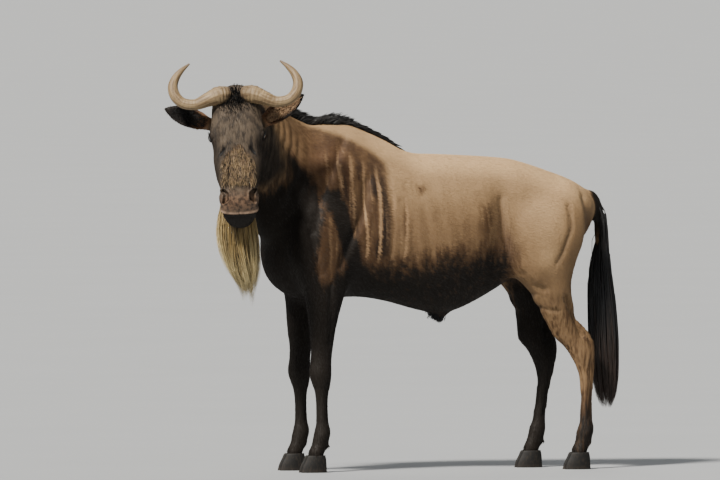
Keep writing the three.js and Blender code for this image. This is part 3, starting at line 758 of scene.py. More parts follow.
LEGS = (
    Leg("foreleg_left", FORELEG, -1, Stance.SQUARE),
    Leg("foreleg_right", FORELEG, 1, Stance.STEPPED_FORE),
    Leg("hindleg_left", HINDLEG, -1, Stance.SQUARE),
    Leg("hindleg_right", HINDLEG, 1, Stance.STEPPED_HIND),
)


@dataclass
class Skull:
    """The head in its own frame. Each row is a place from the nape to the lips, the brow line, the level of the
    widest point, the throat line, and the half width above and below."""

    table: Rows = (
        (-35, 15, -20, -60, 34, 28), (0, 62, 0, -95, 76, 58), (45, 92, 10, -130, 92, 70),
        (100, 100, 15, -158, 98, 74), (145, 101, 18, -168, 100, 74), (187, 98, 22, -163, 101, 70),
        (230, 91, 18, -148, 100, 64), (280, 85, 12, -128, 97, 60), (335, 80, 4, -112, 89, 56),
        (385, 75, -4, -104, 78, 52), (425, 64, -10, -100, 73, 50), (455, 50, -16, -97, 71, 49),
        (475, 27, -22, -94, 67, 46), (488, 2, -34, -90, 58, 42), (500, -22, -46, -82, 44, 34),
        (508, -40, -54, -68, 18, 14),
    )
    strokes: Sequence[Stroke] = (
        ((182, 98, 62), (34, 26, 22), (-2, 9, 7)), ((190, 100, 18), (30, 24, 16), (0, 5, 0)),
        ((240, 92, 55), (30, 22, 24), (0, -5, -4)), ((150, 92, -85), (60, 36, 45), (0, 6, 0)),
        ((262, 58, 84), (24, 15, 18), (0, 2, -6)), ((330, 40, 92), (60, 34, 24), (0, 0, 4)),
        ((428, 70, 16), (24, 20, 22), (0, 7, 4)), ((385, 76, 10), (22, 20, 40), (0, -4, 0)),
        ((462, 58, -16), (24, 26, 14), (2, 4, 3)),
    )

    def shell(self, grow: float) -> Shell:
        """The head in the animal's frame, larger by grow.

        Args:
            grow: millimetres to add.

        Returns:
            The closed shell.
        """
        x = places(self.table[0][0], self.table[-1][0], 150, 0.5)
        brow, middle, throat, high, low = (c[:, None] for c in Curve(self.table)(x).T)
        angle = around(120)[None, :]
        rise = np.sin(angle)
        half = low + (high - low) * ramp(rise, -0.8, 0.5)
        height = np.where(rise > 0, brow - middle, middle - throat)
        y = (half + grow) * leaned(np.cos(angle), 0.75)
        z = middle + (height + grow) * leaned(rise, 0.85)
        rings = np.stack([x[:, None] + 0 * y, y, z], -1)
        return Shell.loft(HEAD.put(sculpt(rings, both_sides(self.strokes))))


@dataclass
class Ear:
    """A leaf-shaped cup from its root to its tip, in the head's frame."""

    root: Point
    tip: Point
    opening: Point = (0.5, 0, 0.86)
    wall: float = 4.5
    table: Rows = (
        (0, 22, 20), (0.15, 25, 23), (0.35, 34, 24), (0.55, 36, 20), (0.75, 29, 14), (0.9, 16, 8), (1, 3, 3),
    )

    @property
    def axes(self) -> tuple[Array, Array, Array]:
        """The ways along the ear, across it and out of its cup."""
        along = unit(np.subtract(self.tip, self.root))
        across = unit(np.cross(self.opening, along))
        return along, across, unit(np.cross(along, across))

    def leaf(self, low: float, high: float, wall: float, lift: float) -> Shell:
        """The leaf between two shares of the length, thinner by the wall and lifted out of the cup.

        Args:
            low: where it starts.
            high: where it ends.
            wall: how much thinner it is.
            lift: how far out of the cup.

        Returns:
            The closed shell.
        """
        along, across, out = self.axes
        length = float(np.linalg.norm(np.subtract(self.tip, self.root)))
        t = places(low, high, 30, 0.4)
        wide, deep = (np.maximum(1.2, c[:, None, None] - wall) for c in Curve(self.table)(t).T)
        angle = around(32)[None, :, None]
        middle = np.array(self.root) + along * (t * length)[:, None, None]
        rings = middle + wide * np.cos(angle) * across + (lift + deep * np.sin(angle)) * out
        return Shell.loft(HEAD.put(rings))

    def solid(self, name: str) -> Piece:
        """The ear with its cup cut out.

        Args:
            name: the object's name.

        Returns:
            The object.
        """
        made = self.leaf(0, 1, 0, 0).object(name)
        boolean(made, self.leaf(0.16, 0.95, self.wall, 12).object(f"{name}_cup"), "DIFFERENCE")
        return made


EARS = {
    "left": Ear((118, 84, -8), (11, 249, 6)),
    "right": Ear((118, -84, -8), (46, -264, 0)),
}

TRUNK, NECK, SKULL = Trunk(), Neck(), Skull()
TAIL_LINE = (
    (600, 0, 1000, 20), (640, 0, 1020, 26), (672, 0, 1012, 25), (697, 0, 965, 22), (703, 0, 880, 19),
    (706, 0, 780, 14), (709, 0, 700, 7),
)


# The face


@dataclass
class Face:
    """The fine forms of the head, pushed into the skin in the head's frame."""

    lid: float = 2.4
    nostril: Rows = (
        (402, 66, 42, 6), (411, 58, 50, 10), (423, 49, 51, 12), (436, 48, 44, 12), (446, 56, 31, 7),
    )
    mouth: Rows = ((385, -48), (430, -33), (465, -8), (490, 8), (530, 18))
    gland_at: Point = (259, 56, 72)

    def eye_axes(self) -> tuple[Array, Array]:
        """The ways along the left eye's opening and up to its brow."""
        forward = unit(np.array([1, 0, 0]) - EYE_LOOK * EYE_LOOK[0])
        return forward, np.cross(forward, EYE_LOOK)

    def open_eye(self, h: Array) -> Array:
        """Opens the lids over the left eyeball and rounds them over it.

        Args:
            h: points in the head's frame.

        Returns:
            The moved points.
        """
        away = h - EYE_AT
        reach = np.linalg.norm(away, axis=1)
        way = away / reach[:, None]
        forward, brow = self.eye_axes()
        a, b, c = way @ forward, way @ brow, way @ EYE_LOOK
        gap = np.where(b > 0, 0.5, 0.4) * np.clip(1 - (a / 0.86) ** 2, 0.001, 1)
        edge = np.abs(b) / gap
        near = ramp(c, 0.2, 0.5) * ramp(reach, 46, 34)
        rounded = np.maximum(reach, EYE_RADIUS + self.lid)
        rim = 1.3 * np.exp(-(((edge - 1.25) / 0.2) ** 2)) * (np.abs(a) < 0.95)
        fold = -2.2 * np.exp(-(((edge - 2.0) / 0.28) ** 2)) * (b > 0) * ramp(np.abs(a), 0.9, 0.6)
        closed = reach + near * (rounded - reach + rim + fold)
        opened = (edge < 1) & (np.abs(a) < 0.86) & (c > 0.2) & (reach < 46)
        return EYE_AT + way * np.where(opened, EYE_RADIUS - 4.5, closed)[:, None]

    def nostril_share(self, h: Array) -> Array:
        """How far each point is from the middle line of the left nostril, in radii.

        Args:
            h: points in the head's frame.

        Returns:
            A number for each, below 1 inside the nostril.
        """
        rows = np.array(self.nostril, float)
        best = np.full(len(h), 9.0)
        for start, end in zip(rows[:-1], rows[1:], strict=True):
            span = (end - start)[:3]
            t = np.clip((h - start[:3]) @ span / (span @ span), 0, 1)
            away = np.linalg.norm(h - start[:3] - t[:, None] * span, axis=1)
            best = np.minimum(best, away / (start[3] + t * (end[3] - start[3])))
        return best

    def open_nostril(self, h: Array) -> Array:
        """Hollows the left nostril and raises its wing.

        Args:
            h: points in the head's frame.

        Returns:
            The moved points.
        """
        share = self.nostril_share(h)
        inward = unit(np.array([-0.45, -0.25, -0.85]))
        hollow = 15 * np.sqrt(np.clip(1 - share**2, 0, 1))
        wing = 2.6 * np.exp(-(((share - 1.3) / 0.28) ** 2))
        return h + inward * (hollow - wing)[:, None]

    def mouth_height(self, h: Array) -> Array:
        """How far a point lies above the line of the mouth."""
        rows = np.array(self.mouth, float)
        return h[:, 2] - np.interp(h[:, 0], rows[:, 0], rows[:, 1])

    def part_lips(self, h: Array, n: Array) -> Array:
        """Draws the line of the mouth, with the upper lip over the lower one.

        Args:
            h: points in the head's frame.
            n: which way each faces.

        Returns:
            The moved points.
        """
        over = self.mouth_height(h)
        ahead = ramp(h[:, 0], 376, 396)
        groove = -5.5 * np.exp(-((over / 2.2) ** 2)) * ahead
        upper = 3.4 * np.exp(-(((over - 8) / 7) ** 2)) * ramp(h[:, 0], 410, 440)
        lower = -3.0 * np.exp(-(((over + 9) / 8) ** 2)) * ramp(h[:, 0], 410, 440)
        return h + n * (groove + upper + lower)[:, None]

    def gland(self, h: Array) -> Array:
        """The slit of the scent gland below the left eye, 1 along its middle.

        Args:
            h: points in the head's frame.

        Returns:
            A share for each point.
        """
        away = h[:, :2] - np.array(self.gland_at[:2])
        along, across = away @ np.array([0.82, 0.57]), away @ np.array([-0.57, 0.82])
        return np.exp(-((along / 17) ** 2) - (across / 5.5) ** 2) * (h[:, 2] > 20)

    def creases(self, h: Array) -> Array:
        """Wrinkles under the eyes, over the bridge of the nose and behind the nostrils, in millimetres.

        Args:
            h: points in the head's frame.

        Returns:
            How far each point moves out.
        """
        x, y, z = h.T
        bridge = 0.9 * np.sin(x / 4.1 + 0.9 * np.sin(y / 9.0) + y / 14) * spot(h, (372, 0, 78), (48, 60, 30))
        muzzle = 1.0 * np.sin((x - 0.7 * np.abs(y)) / 3.6) * spot(h, (398, 74, 10), (22, 24, 40))
        eye_bag = 1.5 * np.sin(z / 4.4 + x / 17) * spot(h, (196, 100, 12), (26, 30, 14))
        groove = -1.8 * np.exp(-((y / 2.2) ** 2)) * ramp(x, 446, 462) * (z > -8)
        cheek = -2.5 * np.exp(-(((z + 0.55 * x - 60) / 7) ** 2)) * spot(h, (240, 96, -70), (60, 40, 46))
        return bridge + muzzle + eye_bag + groove + cheek

    def model(self, h: Array, n: Array) -> Array:
        """All of the forms on both sides; n is which way each point faces.

        Args:
            h: points in the head's frame.
            n: which way each faces.

        Returns:
            The moved points.
        """
        for side in (1, -1):
            flip = np.array([1, side, 1])
            left = h[:, 1] * side >= 0
            m, w = h[left] * flip, n[left] * flip
            m = m + w * (self.creases(m) - 5 * self.gland(m))[:, None]
            m = self.part_lips(m, w)
            h[left] = self.open_eye(self.open_nostril(m)) * flip
        return h

    def fine_spots(self) -> list[tuple[Sequence[float], float]]:
        """Middles and radii, on the left, of what needs the finest faces."""
        return [(EYE_AT, 40), ((424, 54, 46), 34), (self.gland_at, 22)]


FACE = Face()


# What lies where on the animal: the markings with the painted shade and painted highlights, and the way of the coat


def body_of_head(points: Array) -> Array:
    """1 on the head, and fading out behind the jaw and the nape.

    Args:
        points: places in the animal's frame.

    Returns:
        A share for each.
    """
    h = HEAD.seen(points)
    ahead = (h[:, 0] + 45) * 0.672 + (h[:, 2] + 10) * 0.74
    return ramp(ahead, -28, 22) * ramp(h[:, 2], -270, -200) * (np.abs(h[:, 1]) < 330)


def unstepped(points: Array) -> Array:
    """The right legs' points as if they stood square.

    Args:
        points: places in the animal's frame.

    Returns:
        The moved places.
    """
    moved = points.copy()
    right = points[:, 1] > 0
    for ahead, stance in ((points[:, 0] < -200, Stance.STEPPED_FORE), (points[:, 0] > 150, Stance.STEPPED_HIND)):
        chosen = right & ahead
        forward, down = Curve(stance.value)(points[chosen, 2]).T
        moved[chosen, 0] += forward
        moved[chosen, 2] += down
    return moved


@dataclass(frozen=True)
class MarkingsShadeAndHighlights:
    """Where each colour of the coat lies, from 0 to 1, and where shade and highlights are painted on it. The withers'
    rows are a place along the body and the height below which the shoulder turns brown."""

    withers: Rows = (
        (-560, 1330), (-457, 1275), (-410, 1262), (-325, 1232), (-240, 1185), (-200, 1150), (-140, 1110), (-60, 1040),
    )

    def at(self, points: Array) -> dict[str, Array]:
        """The share of every marking, and of the painted shade and highlights, at each point.

        Args:
            points: places in the animal's frame.

        Returns:
            For each name a share for each point.
        """
        p = unstepped(points)
        x, y, z = p.T
        h = HEAD.seen(points)
        h[:, 1] = np.abs(h[:, 1])
        hx, hy, hz = h.T
        head = body_of_head(points)
        body = 1 - head
        side, seen = p * [1, 0, 1], p[:, [0, 2]]
        back = TRUNK.back(x)
        neck_middle = 1055 + (-470 - x) * 0.933

        # Dark coat that is also painted shadow: the forelegs and chest are painted darker for the shadow of the head
        # and neck, the belly for the shade under the body; inner and far are painted shade on the insides of the hind
        # legs and on the far hind leg.
        fore = ramp(x, -150, -250) * ramp(z, 830, 600)
        inner = ramp(np.abs(y), 118, 72) * ramp(x, 150, 240) * ramp(z, 800, 640)
        far = ramp(y, -20, 40) * ramp(x, 150, 240) * ramp(z, 760, 560)
        shank = 0.75 * ramp(z, 400, 110) * (x > 150)
        chest = ramp(x, -400, -480) * ramp(z, 1130, 950)
        # The throat's dark reaches up the neck as the painted cast shadow of the head, on dark coat.
        throat = ramp(x, -430, -520) * ramp(z - neck_middle, 88, 12)
        belly = ramp(z - (728 + (x + 190) * 0.15), 125, -52) * ramp(x, 345, 240)
        # Painted shade along the thigh's rear edge, in the crease before the thigh and in the flank hollows.
        thigh_rear_shade = self.band(seen, ((612, 1000), (622, 900), (596, 790), (566, 690)), 30)
        crease = self.band(seen, ((520, 985), (524, 900), (492, 812), (478, 760)), 9)
        hollow = spot(side, (258, 0, 940), (20, 1, 90)) + spot(side, (296, 0, 790), (30, 1, 80))
        # Painted shade on the lower trunk, darker downwards.
        sunk = ramp(z, 1090, 760) * 0.6 + ramp(z, 800, 600)
        # Painted shadow in front of the stifle.
        stifle_shadow = 0.7 * spot(side, (322, 0, 770), (30, 1, 66))
        # Brown smudges of the coat; the painted shadow of the stifle joins them in the stored share.
        smudge = spot(side, (-62, 0, 1052), (26, 1, 22)) + 0.6 * spot(side, (-118, 0, 1066), (14, 1, 20))
        flank = 0.9 * spot(side, (196, 0, 925), (48, 1, 90)) + 0.4 * spot(side, (90, 0, 900), (40, 1, 70))
        bright = (1 - fore) * (1 - 0.8 * inner) * (1 - 0.75 * far) * (1 - shank)
        dark = 1 - bright * (1 - chest) * (1 - 0.92 * throat) * (1 - 0.8 * belly)
        withers = np.interp(x, *zip(*self.withers, strict=True))
        below = ramp(z - withers, 26, -8) * ramp(z, 640, 760)
        brown = below * ramp(x, -165, -205) * ramp(x, -640, -470)
        stripe = below * ramp(x, -60, -130) * ramp(x, -470, -340) * ramp(z - withers, -10, -120)
        # A painted patch of sunlight on the near upper foreleg, which takes the dark away there.
        lit = 0.9 * spot(side, (-440, 0, 785), (36, 1, 95)) * ramp(np.abs(y), 150, 175)
        # Dark coat behind the elbow, with painted shadow.
        elbow_dark_and_shadow = self.band(seen, ((-400, 1020), (-352, 880), (-302, 745), (-290, 680)), 36)
        dark = 1 - (1 - dark) * (1 - 0.97 * elbow_dark_and_shadow * ramp(np.abs(y), 60, 110))
        # Painted highlight: the top of the back, and less of it over the upper body.
        pale = np.maximum(ramp(z - back, -150, -10), ramp(z, 900, 1120) * 0.4)
        # Painted highlight on the thigh.
        thigh_highlight = 0.42 * spot(side, (430, 0, 930), (95, 1, 110)) + 0.35 * spot(side, (440, 0, 790), (50, 1, 60))
        root_of_tail = 0.8 * ramp(x, 645, 672) * ramp(z, 800, 900) * ramp(np.abs(y), 46, 28)
        # Brown hind legs, painted darker on the far side as shade.
        legs_brown_and_far_shade = (0.16 + 0.3 * (y > 0)) * ramp(z, 740, 560) * ramp(x, 150, 240)
        dark = np.maximum(dark * (1 - lit), np.maximum(root_of_tail, legs_brown_and_far_shade))
        warm = spot(p, (-400, -150, 1150), (90, 120, 90)) + 0.8 * spot(p, (640, 0, 950), (46, 130, 150))
        ear = self.ear_share(points, 8, 30)
        ear_base = 1 - self.ear_share(points, 45, 95)
        over = FACE.mouth_height(h)
        lip = np.exp(-(((over - 8) / 6.5) ** 2)) * ramp(hx, 425, 460) * (over > 0)
        lids = 0.75 * ramp(np.linalg.norm(h - EYE_AT, axis=1), 32, 24)
        # Dark lower lip and chin: dark hair, with painted shade under the upper lip.
        chin = ramp(over, 2, -2) * ramp(hx, 330, 400)
        slit = np.clip(2.4 * FACE.gland(h), 0, 1)
        # Near-black nostrils: dark skin, with painted shade inside them.
        nostril = ramp(FACE.nostril_share(h), 1.15, 0.8)
        return {
            # dark coat painted darker for shadow and shade, and the dark chin with painted shade under the upper lip
            "dark": np.clip(dark * body + chin * head, 0, 1),
            "brown": brown * body,
            "stripe": stripe * body,
            # painted shade, in the shaded colour: the lower trunk, the thigh's rear edge, the crease and the flank
            # hollows
            "low": np.clip(sunk * ramp(x, 330, 230) + thigh_rear_shade + crease + hollow, 0, 1) * body,
            # brown smudges and streaks of the coat, and the painted shadow in front of the stifle
            "smudge": np.clip(smudge + flank + stifle_shadow, 0, 1) * body,
            "warm": np.clip(warm, 0, 1) * body,
            # painted highlight along the back and on the thigh
            "pale": np.clip(pale + thigh_highlight, 0, 1) * (0.5 * ramp(x, -560, -480) + 0.5 * ramp(x, -330, -130)) * body,
            "face": head * (1 - ear),
            "ear": ear,
            "ear_base": ear_base,
            # painted shade on the sides of the face
            "cheek": ramp(hy, 52, 82) * ramp(hx, 110, 200) * head,
            "bridge": ramp(hx, 235, 320) * ramp(hx, 415, 385) * (hz > 0) * ramp(hy, 82, 40) * head,
            "nose": np.clip(1.3 * spot(h, (448, 22, 30), (38, 56, 44)), 0, 1) * (over > 0) * head,
            "lip": lip * head,
            # dark bare skin of the gland slits and lids, and painted shade inside the nostrils
            "hollow": np.clip(slit + nostril + lids, 0, 1) * head,
        }

    def band(self, seen: Array, line: Rows, width: float) -> Array:
        """1 along a line on the side of the animal and 0 beyond its width; seen is x and z."""
        return ramp(np.sqrt(off_line(seen, line)), 1.5 * width, 0.4 * width)

    def ear_share(self, points: Array, low: float, high: float) -> Array:
        """1 on the ears and 0 off them; they begin between low and high, in millimetres from their roots.

        Args:
            points: places in the animal's frame.
            low: where an ear begins.
            high: where it is in full.

        Returns:
            A share for each point.
        """
        share = np.zeros(len(points))
        for one in EARS.values():
            along = one.axes[0]
            away = HEAD.seen(points) - one.root
            t = away @ along
            off = np.linalg.norm(away - t[:, None] * along, axis=1)
            share = np.maximum(share, ramp(t, low, high) * (off < 55) * (t < 320))
        return share


MARKINGS_SHADE_AND_HIGHLIGHTS = MarkingsShadeAndHighlights()


@dataclass(frozen=True)
class Lie:
    """Which way the coat lies, and how long and close it is."""

    def way(self, points: Array) -> Array:
        """Direction of the hair at each point, not yet laid on the surface.

        Args:
            points: places in the animal's frame.

        Returns:
            A direction for each.
        """
        p = unstepped(points)
        x, _, z = p.T
        head = body_of_head(points)[:, None]
        leg = ramp(z, 780, 560)[:, None]
        neck = ramp(x, -420, -540)[:, None]
        trunk_way = np.array([0.9, 0, -0.45])
        neck_way = np.array([0.45, 0.25, -0.85])
        way = trunk_way * (1 - neck) + neck_way * neck
        way = way * (1 - leg) + np.array([0.12, 0, -1]) * leg
        waver = 0.22 * np.sin(x / 31 + 1.3 * np.sin(z / 47))[:, None] * SKY
        return unit((way + waver) * (1 - head) + HEAD.axes[:, 0] * head)

    def length(self, points: Array) -> Array:
        """Length of the hair in millimetres.

        Args:
            points: places in the animal's frame.

        Returns:
            A length for each.
        """
        p = unstepped(points)
        x, _, z = p.T
        h = HEAD.seen(points)
        head = body_of_head(points)
        face = 9 - 4 * ramp(h[:, 0], 360, 430)
        body = 12 + 6 * ramp(x, -380, -520) * ramp(z, 700, 900) - 2.5 * ramp(z, 560, 420)
        body += 7 * ramp(z, 105, 80)
        return face * head + body * (1 - head)

    def closeness(self, points: Array) -> Array:
        """Tufts for each square centimetre.

        Args:
            points: places in the animal's frame.

        Returns:
            A number for each.
        """
        h = HEAD.seen(points)
        z = unstepped(points)[:, 2]
        head = body_of_head(points)
        h[:, 1] = np.abs(h[:, 1])
        bare = np.maximum(1.4 * spot(h, (462, 20, 16), (30, 50, 30)), ramp(FACE.nostril_share(h), 1.5, 1.1))
        bare = np.maximum(bare, 1.6 * FACE.gland(h))
        eye = np.linalg.norm(h - EYE_AT, axis=1)
        on_head = 12.4 * (1 - np.clip(bare, 0, 1)) * ramp(eye, 21.5, 24.5)
        return on_head * head + (7.0 + 1.5 * ramp(z, 640, 500)) * (1 - head)


LIE = Lie()


class Region(Enum):
    """The coat's pieces, one for each part of the body. The coat's pieces: each is
    small enough for its own file.
    """

    HEAD = 0
    NECK = 1
    SHOULDER_LEFT = 2
    SHOULDER_RIGHT = 3
    RUMP_LEFT = 4
    RUMP_RIGHT = 5
    FORELEGS = 6
    HINDLEGS = 7

    @staticmethod
    def of(points: Array) -> Array:
        """The region's number at each point.

        Args:
            points: places in the animal's frame.

        Returns:
            A number for each.
        """
        x, y, z = points.T
        left = y < 0
        trunk = np.where(x < 60, np.where(left, 2, 3), np.where(left, 4, 5))
        legs = np.where(x < 0, 6, 7)
        made = np.where(z < 610, legs, np.where((x < -500) & (z > 800), 1, trunk))
        return np.where(body_of_head(points) > 0.5, 0, made)


def unwrapped(points: Array, region: Region) -> Array:
    """An unwrap of one region of the skin: it is rolled off round its own middle line.

    Args:
        points: places on the skin, in the animal's frame.
        region: where they lie.

    Returns:
        For each one its two coordinates, from 0 to 1.
    """
    x, y, z = points.T
    if region is Region.HEAD:
        h = HEAD.seen(points)
        along, turn = (h[:, 0] + 130) / 650, np.arctan2(h[:, 2] + 20, h[:, 1]) / (2 * np.pi) + 0.5
    elif region is Region.NECK:
        rows = np.array(NECK.table)[::-1]
        middle = [np.interp(x, rows[:, 1], rows[:, c]) for c in (2, 3)]
        along, turn = (x + 860) / 380, np.arctan2(z - middle[1], y - middle[0]) / (2 * np.pi) + 0.5
    elif region in (Region.FORELEGS, Region.HINDLEGS):
        ankle = np.full(len(x), -418) if region is Region.FORELEGS else np.where(y < 0, 590, 510)
        right = y > 0
        turn = np.arctan2(np.abs(y) - LEG_SPREAD, x - ankle) / (2 * np.pi) + 0.5
        along, turn = z / 620, 0.5 * turn + 0.5 * right
    else:
        low = -640 if region in (Region.SHOULDER_LEFT, Region.SHOULDER_RIGHT) else 50
        along, turn = (x - low) / 710, np.arctan2(np.abs(y), z - 930) / np.pi
    return np.clip(np.column_stack([along, turn]), 0, 1)


# The skin


@dataclass
class Skin:
    """One skin over all the flesh."""

    coat_depth: float = 3.5
    voxel: float = 0.012
    groove_depth: float = 2.1
    muscles: Sequence[Stroke] = (
        ((490, 165, 930), (78, 60, 105), (0, 15, 2)), ((246, 200, 900), (36, 60, 120), (0, -14, 0)),
        ((330, 180, 1050), (50, 60, 40), (0, 7, 2)), ((392, 180, 735), (58, 60, 55), (0, 9, 0)),
        ((585, 120, 860), (32, 60, 90), (3, 6, 0)), ((470, 170, 640), (40, 60, 50), (0, 4, 0)),
        ((-395, 190, 1060), (50, 60, 120), (0, 8, 0)), ((-440, 200, 850), (50, 60, 90), (0, 8, 0)),
        ((-200, 210, 820), (70, 60, 110), (0, 5, 0)), ((60, 215, 850), (130, 60, 130), (0, 6, 0)),
        ((-560, 120, 930), (40, 60, 120), (-3, 5, 0)),
    )
    grooves: Sequence[tuple[Rows, float, float]] = (
        (((-330, 1235), (-395, 1120), (-450, 1000), (-478, 900)), 16, 3.5),
        (((-262, 1080), (-285, 960), (-330, 860), (-372, 770)), 18, 5),
        (((-500, 930), (-480, 820), (-452, 740)), 12, 3), (((520, 985), (524, 900), (492, 812), (470, 770)), 9, 3.5),
        (((262, 1010), (268, 900), (285, 800), (330, 715), (390, 650)), 14, 4),
        (((340, 735), (385, 690), (430, 672)), 9, 2.5), (((395, 612), (440, 600), (490, 592)), 8, 2),
        (((600, 1010), (612, 900), (590, 800)), 14, 4), (((520, 640), (560, 570), (592, 500)), 10, 7),
        (((628, 400), (627, 300), (626, 200)), 6, 3), (((-402, 335), (-404, 260), (-404, 190)), 6, 2.6),
        (((-410, 700), (-402, 600), (-398, 480)), 9, 3),
    )

    neck_folds: Sequence[tuple[float, Point, Point]] = (
        (1, (-590, -170, 1185), (85, 90, 120)), (0.5, (-600, 120, 1200), (80, 90, 120)),
        (0.8, (-560, -150, 1020), (60, 90, 110)), (0.6, (-560, 130, 1020), (60, 90, 110)),
    )

    def cage(self) -> Piece:
        """The overlapping forms of the flesh as one object."""
        shell = TRUNK.shell(-self.coat_depth).joined(TRUNK.sheath()).joined(NECK.shell(-self.coat_depth))
        shell = shell.joined(SKULL.shell(-2)).joined(Shell.loft(bar(TAIL_LINE, 24, 40)))
        for leg in LEGS:
            shell = shell.joined(leg.shell(-2))
        return shell.object("skin")

    def refine(self, mesh: Mesh) -> None:
        """Splits the faces of the neck once, the head twice, and the eyes, nostrils and lips once more.

        Args:
            mesh: the skin.
        """
        for level in range(3):
            work = bmesh.new()
            work.from_mesh(mesh)
            work.edges.ensure_lookup_table()
            ends = np.array([[v.index for v in edge.verts] for edge in work.edges])
            points = PLACE.back(places_of(mesh))
            chosen = self.fine(points[ends].mean(1), level)
            edges = [work.edges[i] for i in np.flatnonzero(chosen)]
            bmesh.ops.subdivide_edges(work, edges=edges, cuts=1, use_grid_fill=True)
            bmesh.ops.triangulate(work, faces=[f for f in work.faces if len(f.verts) > 4])
            work.to_mesh(mesh)
            work.free()

    def fine(self, points: Array, level: int) -> Array:
        """Which places get finer faces at a level.

        Args:
            points: the middles of the edges.
            level: 0, 1 or 2.

        Returns:
            True for each that is split.
        """
        h = HEAD.seen(points)
        h[:, 1] = np.abs(h[:, 1])
        x, _, z = points.T
        on_head = (body_of_head(points) > 0.02) & (h[:, 1] < 135)
        if level == 0:
            return on_head | ((x < -500) & (z > 1030))
        if level == 1:
            return on_head & (h[:, 0] > 110)
        near = np.abs(FACE.mouth_height(h)) < 13
        chosen = near & (h[:, 0] > 372)
        for at, radius in FACE.fine_spots():
            chosen |= np.linalg.norm(h - np.array(at), axis=1) < radius
        return on_head & chosen

    def hug_skull(self, points: Array) -> Array:
        """Draws the refined head onto the exact form of the skull, and fades into the neck.

        Args:
            points: the skin's points.

        Returns:
            The moved points.
        """
        tree = SKULL.shell(-2).tree()
        moved = points.copy()
        for i in np.flatnonzero(body_of_head(points) > 0):
            hit, _, _, away = tree.find_nearest(Vector(points[i]), 30)
            if hit is not None:
                share = float(ramp(np.array(away), 16, 6))
                moved[i] += share * (np.array(hit) - points[i])
        return moved

    def folds(self, points: Array) -> Array:
        """Depth of the muscles' grooves and the neck's folds, in millimetres out of the surface.

        Args:
            points: the skin's points.

        Returns:
            A depth for each point.
        """
        side = unstepped(points)[:, [0, 2]]
        flat = ramp(np.abs(points[:, 1]), 62, 96)
        depth = np.zeros(len(points))
        for line, width, deep in self.grooves:
            depth -= self.groove_depth * deep * np.exp(-off_line(side, line) / width**2) * flat
        x, y, z = points.T
        along = 0.73 * x + 0.5 * y - 0.35 * z
        wave = np.sin(along / 5.6 + 1.1 * np.sin(z / 61) + 0.6 * np.sin(z / 23))
        neck = sum(share * spot(points, at, reach) for share, at, reach in self.neck_folds)
        ribs = 1.1 * np.sin(x / 9.5 + z / 60) * spot(points * np.array([1, 0, 1]), (-60, 0, 900), (150, 1, 170))
        return depth + 3.0 * wave * neck + ribs

    def build(self) -> Piece:
        """The whole skin with its markings, painted shade and painted highlights stored on its points."""
        made = self.cage()
        mesh = remeshed(made, self.voxel)
        points, net = PLACE.back(places_of(mesh)), Net(mesh)
        points = net.relax(points, np.full(net.count, 0.8), 2)
        set_places(mesh, PLACE.into(points))
        points = net.fillet(points, normals_of(mesh), 7, 45)
        set_places(mesh, PLACE.into(points))
        self.refine(mesh)
        points, net = PLACE.back(places_of(mesh)), Net(mesh)
        points = self.hug_skull(net.relax(points, np.full(net.count, 0.5), 2))
        set_places(mesh, PLACE.into(points))
        points = sculpt(points, both_sides(self.muscles))
        points = points + normals_of(mesh) * self.folds(points)[:, None]
        points = self.model_face(points, normals_of(mesh))
        set_places(mesh, PLACE.into(points))
        for side, ear in EARS.items():
            mesh = boolean(made, ear.solid(f"ear_{side}"), "UNION")
        self.blend_ears(mesh)
        self.mark(mesh)
        return made

    def model_face(self, points: Array, normals: Array) -> Array:
        """Models the face in the head's own frame.

        Args:
            points: the skin's points.
            normals: which way they face.

        Returns:
            The moved points.
        """
        moved = points.copy()
        chosen = (body_of_head(points) > 0.6) & (HEAD.seen(points)[:, 0] > 90)
        h = FACE.model(HEAD.seen(points[chosen]), normals[chosen] @ HEAD.axes)
        moved[chosen] = HEAD.put(h)
        return moved

    def blend_ears(self, mesh: Mesh) -> None:
        """Rounds the joint where an ear grows out of the head.

        Args:
            mesh: the skin.
        """
        points, net = PLACE.back(places_of(mesh)), Net(mesh)
        h = HEAD.seen(points)
        amount = np.zeros(len(points))
        for ear in EARS.values():
            root = np.array(ear.root) + ear.axes[0] * 18
            amount = np.maximum(amount, ramp(np.linalg.norm(h - root, axis=1), 42, 20))
        set_places(mesh, PLACE.into(net.relax(points, amount, 12)))

    def mark(self, mesh: Mesh) -> None:
        """Stores the markings, the painted shade and highlights, and the lie of the coat on the skin's points.

        Args:
            mesh: the skin.
        """
        points = PLACE.back(places_of(mesh))
        normals = normals_of(mesh)
        for name, share in MARKINGS_SHADE_AND_HIGHLIGHTS.at(points).items():
            note(mesh, name, share)
        way = LIE.way(points)
        way = unit(way - normals * np.sum(way * normals, axis=1, keepdims=True))
        note(mesh, "lie", way)
        note(mesh, "hair_length", LIE.length(points) * MM)
        note(mesh, "closeness", LIE.closeness(points) * 1e4)
        note(mesh, "root", PLACE.into(points))
        corners = read(mesh.loops, "vertex_index", kind=np.int32)
        starts = read(mesh.polygons, "loop_start", kind=np.int32)
        regions = mesh.attributes.new("region", "INT", "FACE")
        regions.data.foreach_set("value", Region.of(points[corners[starts]]).astype(np.int32))


# Shader maths


def tint(red: float, green: float, blue: float) -> Colour:
    """A colour as a painter mixes it on a screen, turned into light."""
    made = [c / 12.92 if c <= 0.04045 else ((c + 0.055) / 1.055) ** 2.4 for c in (red, green, blue)]
    return (made[0], made[1], made[2], 1.0)


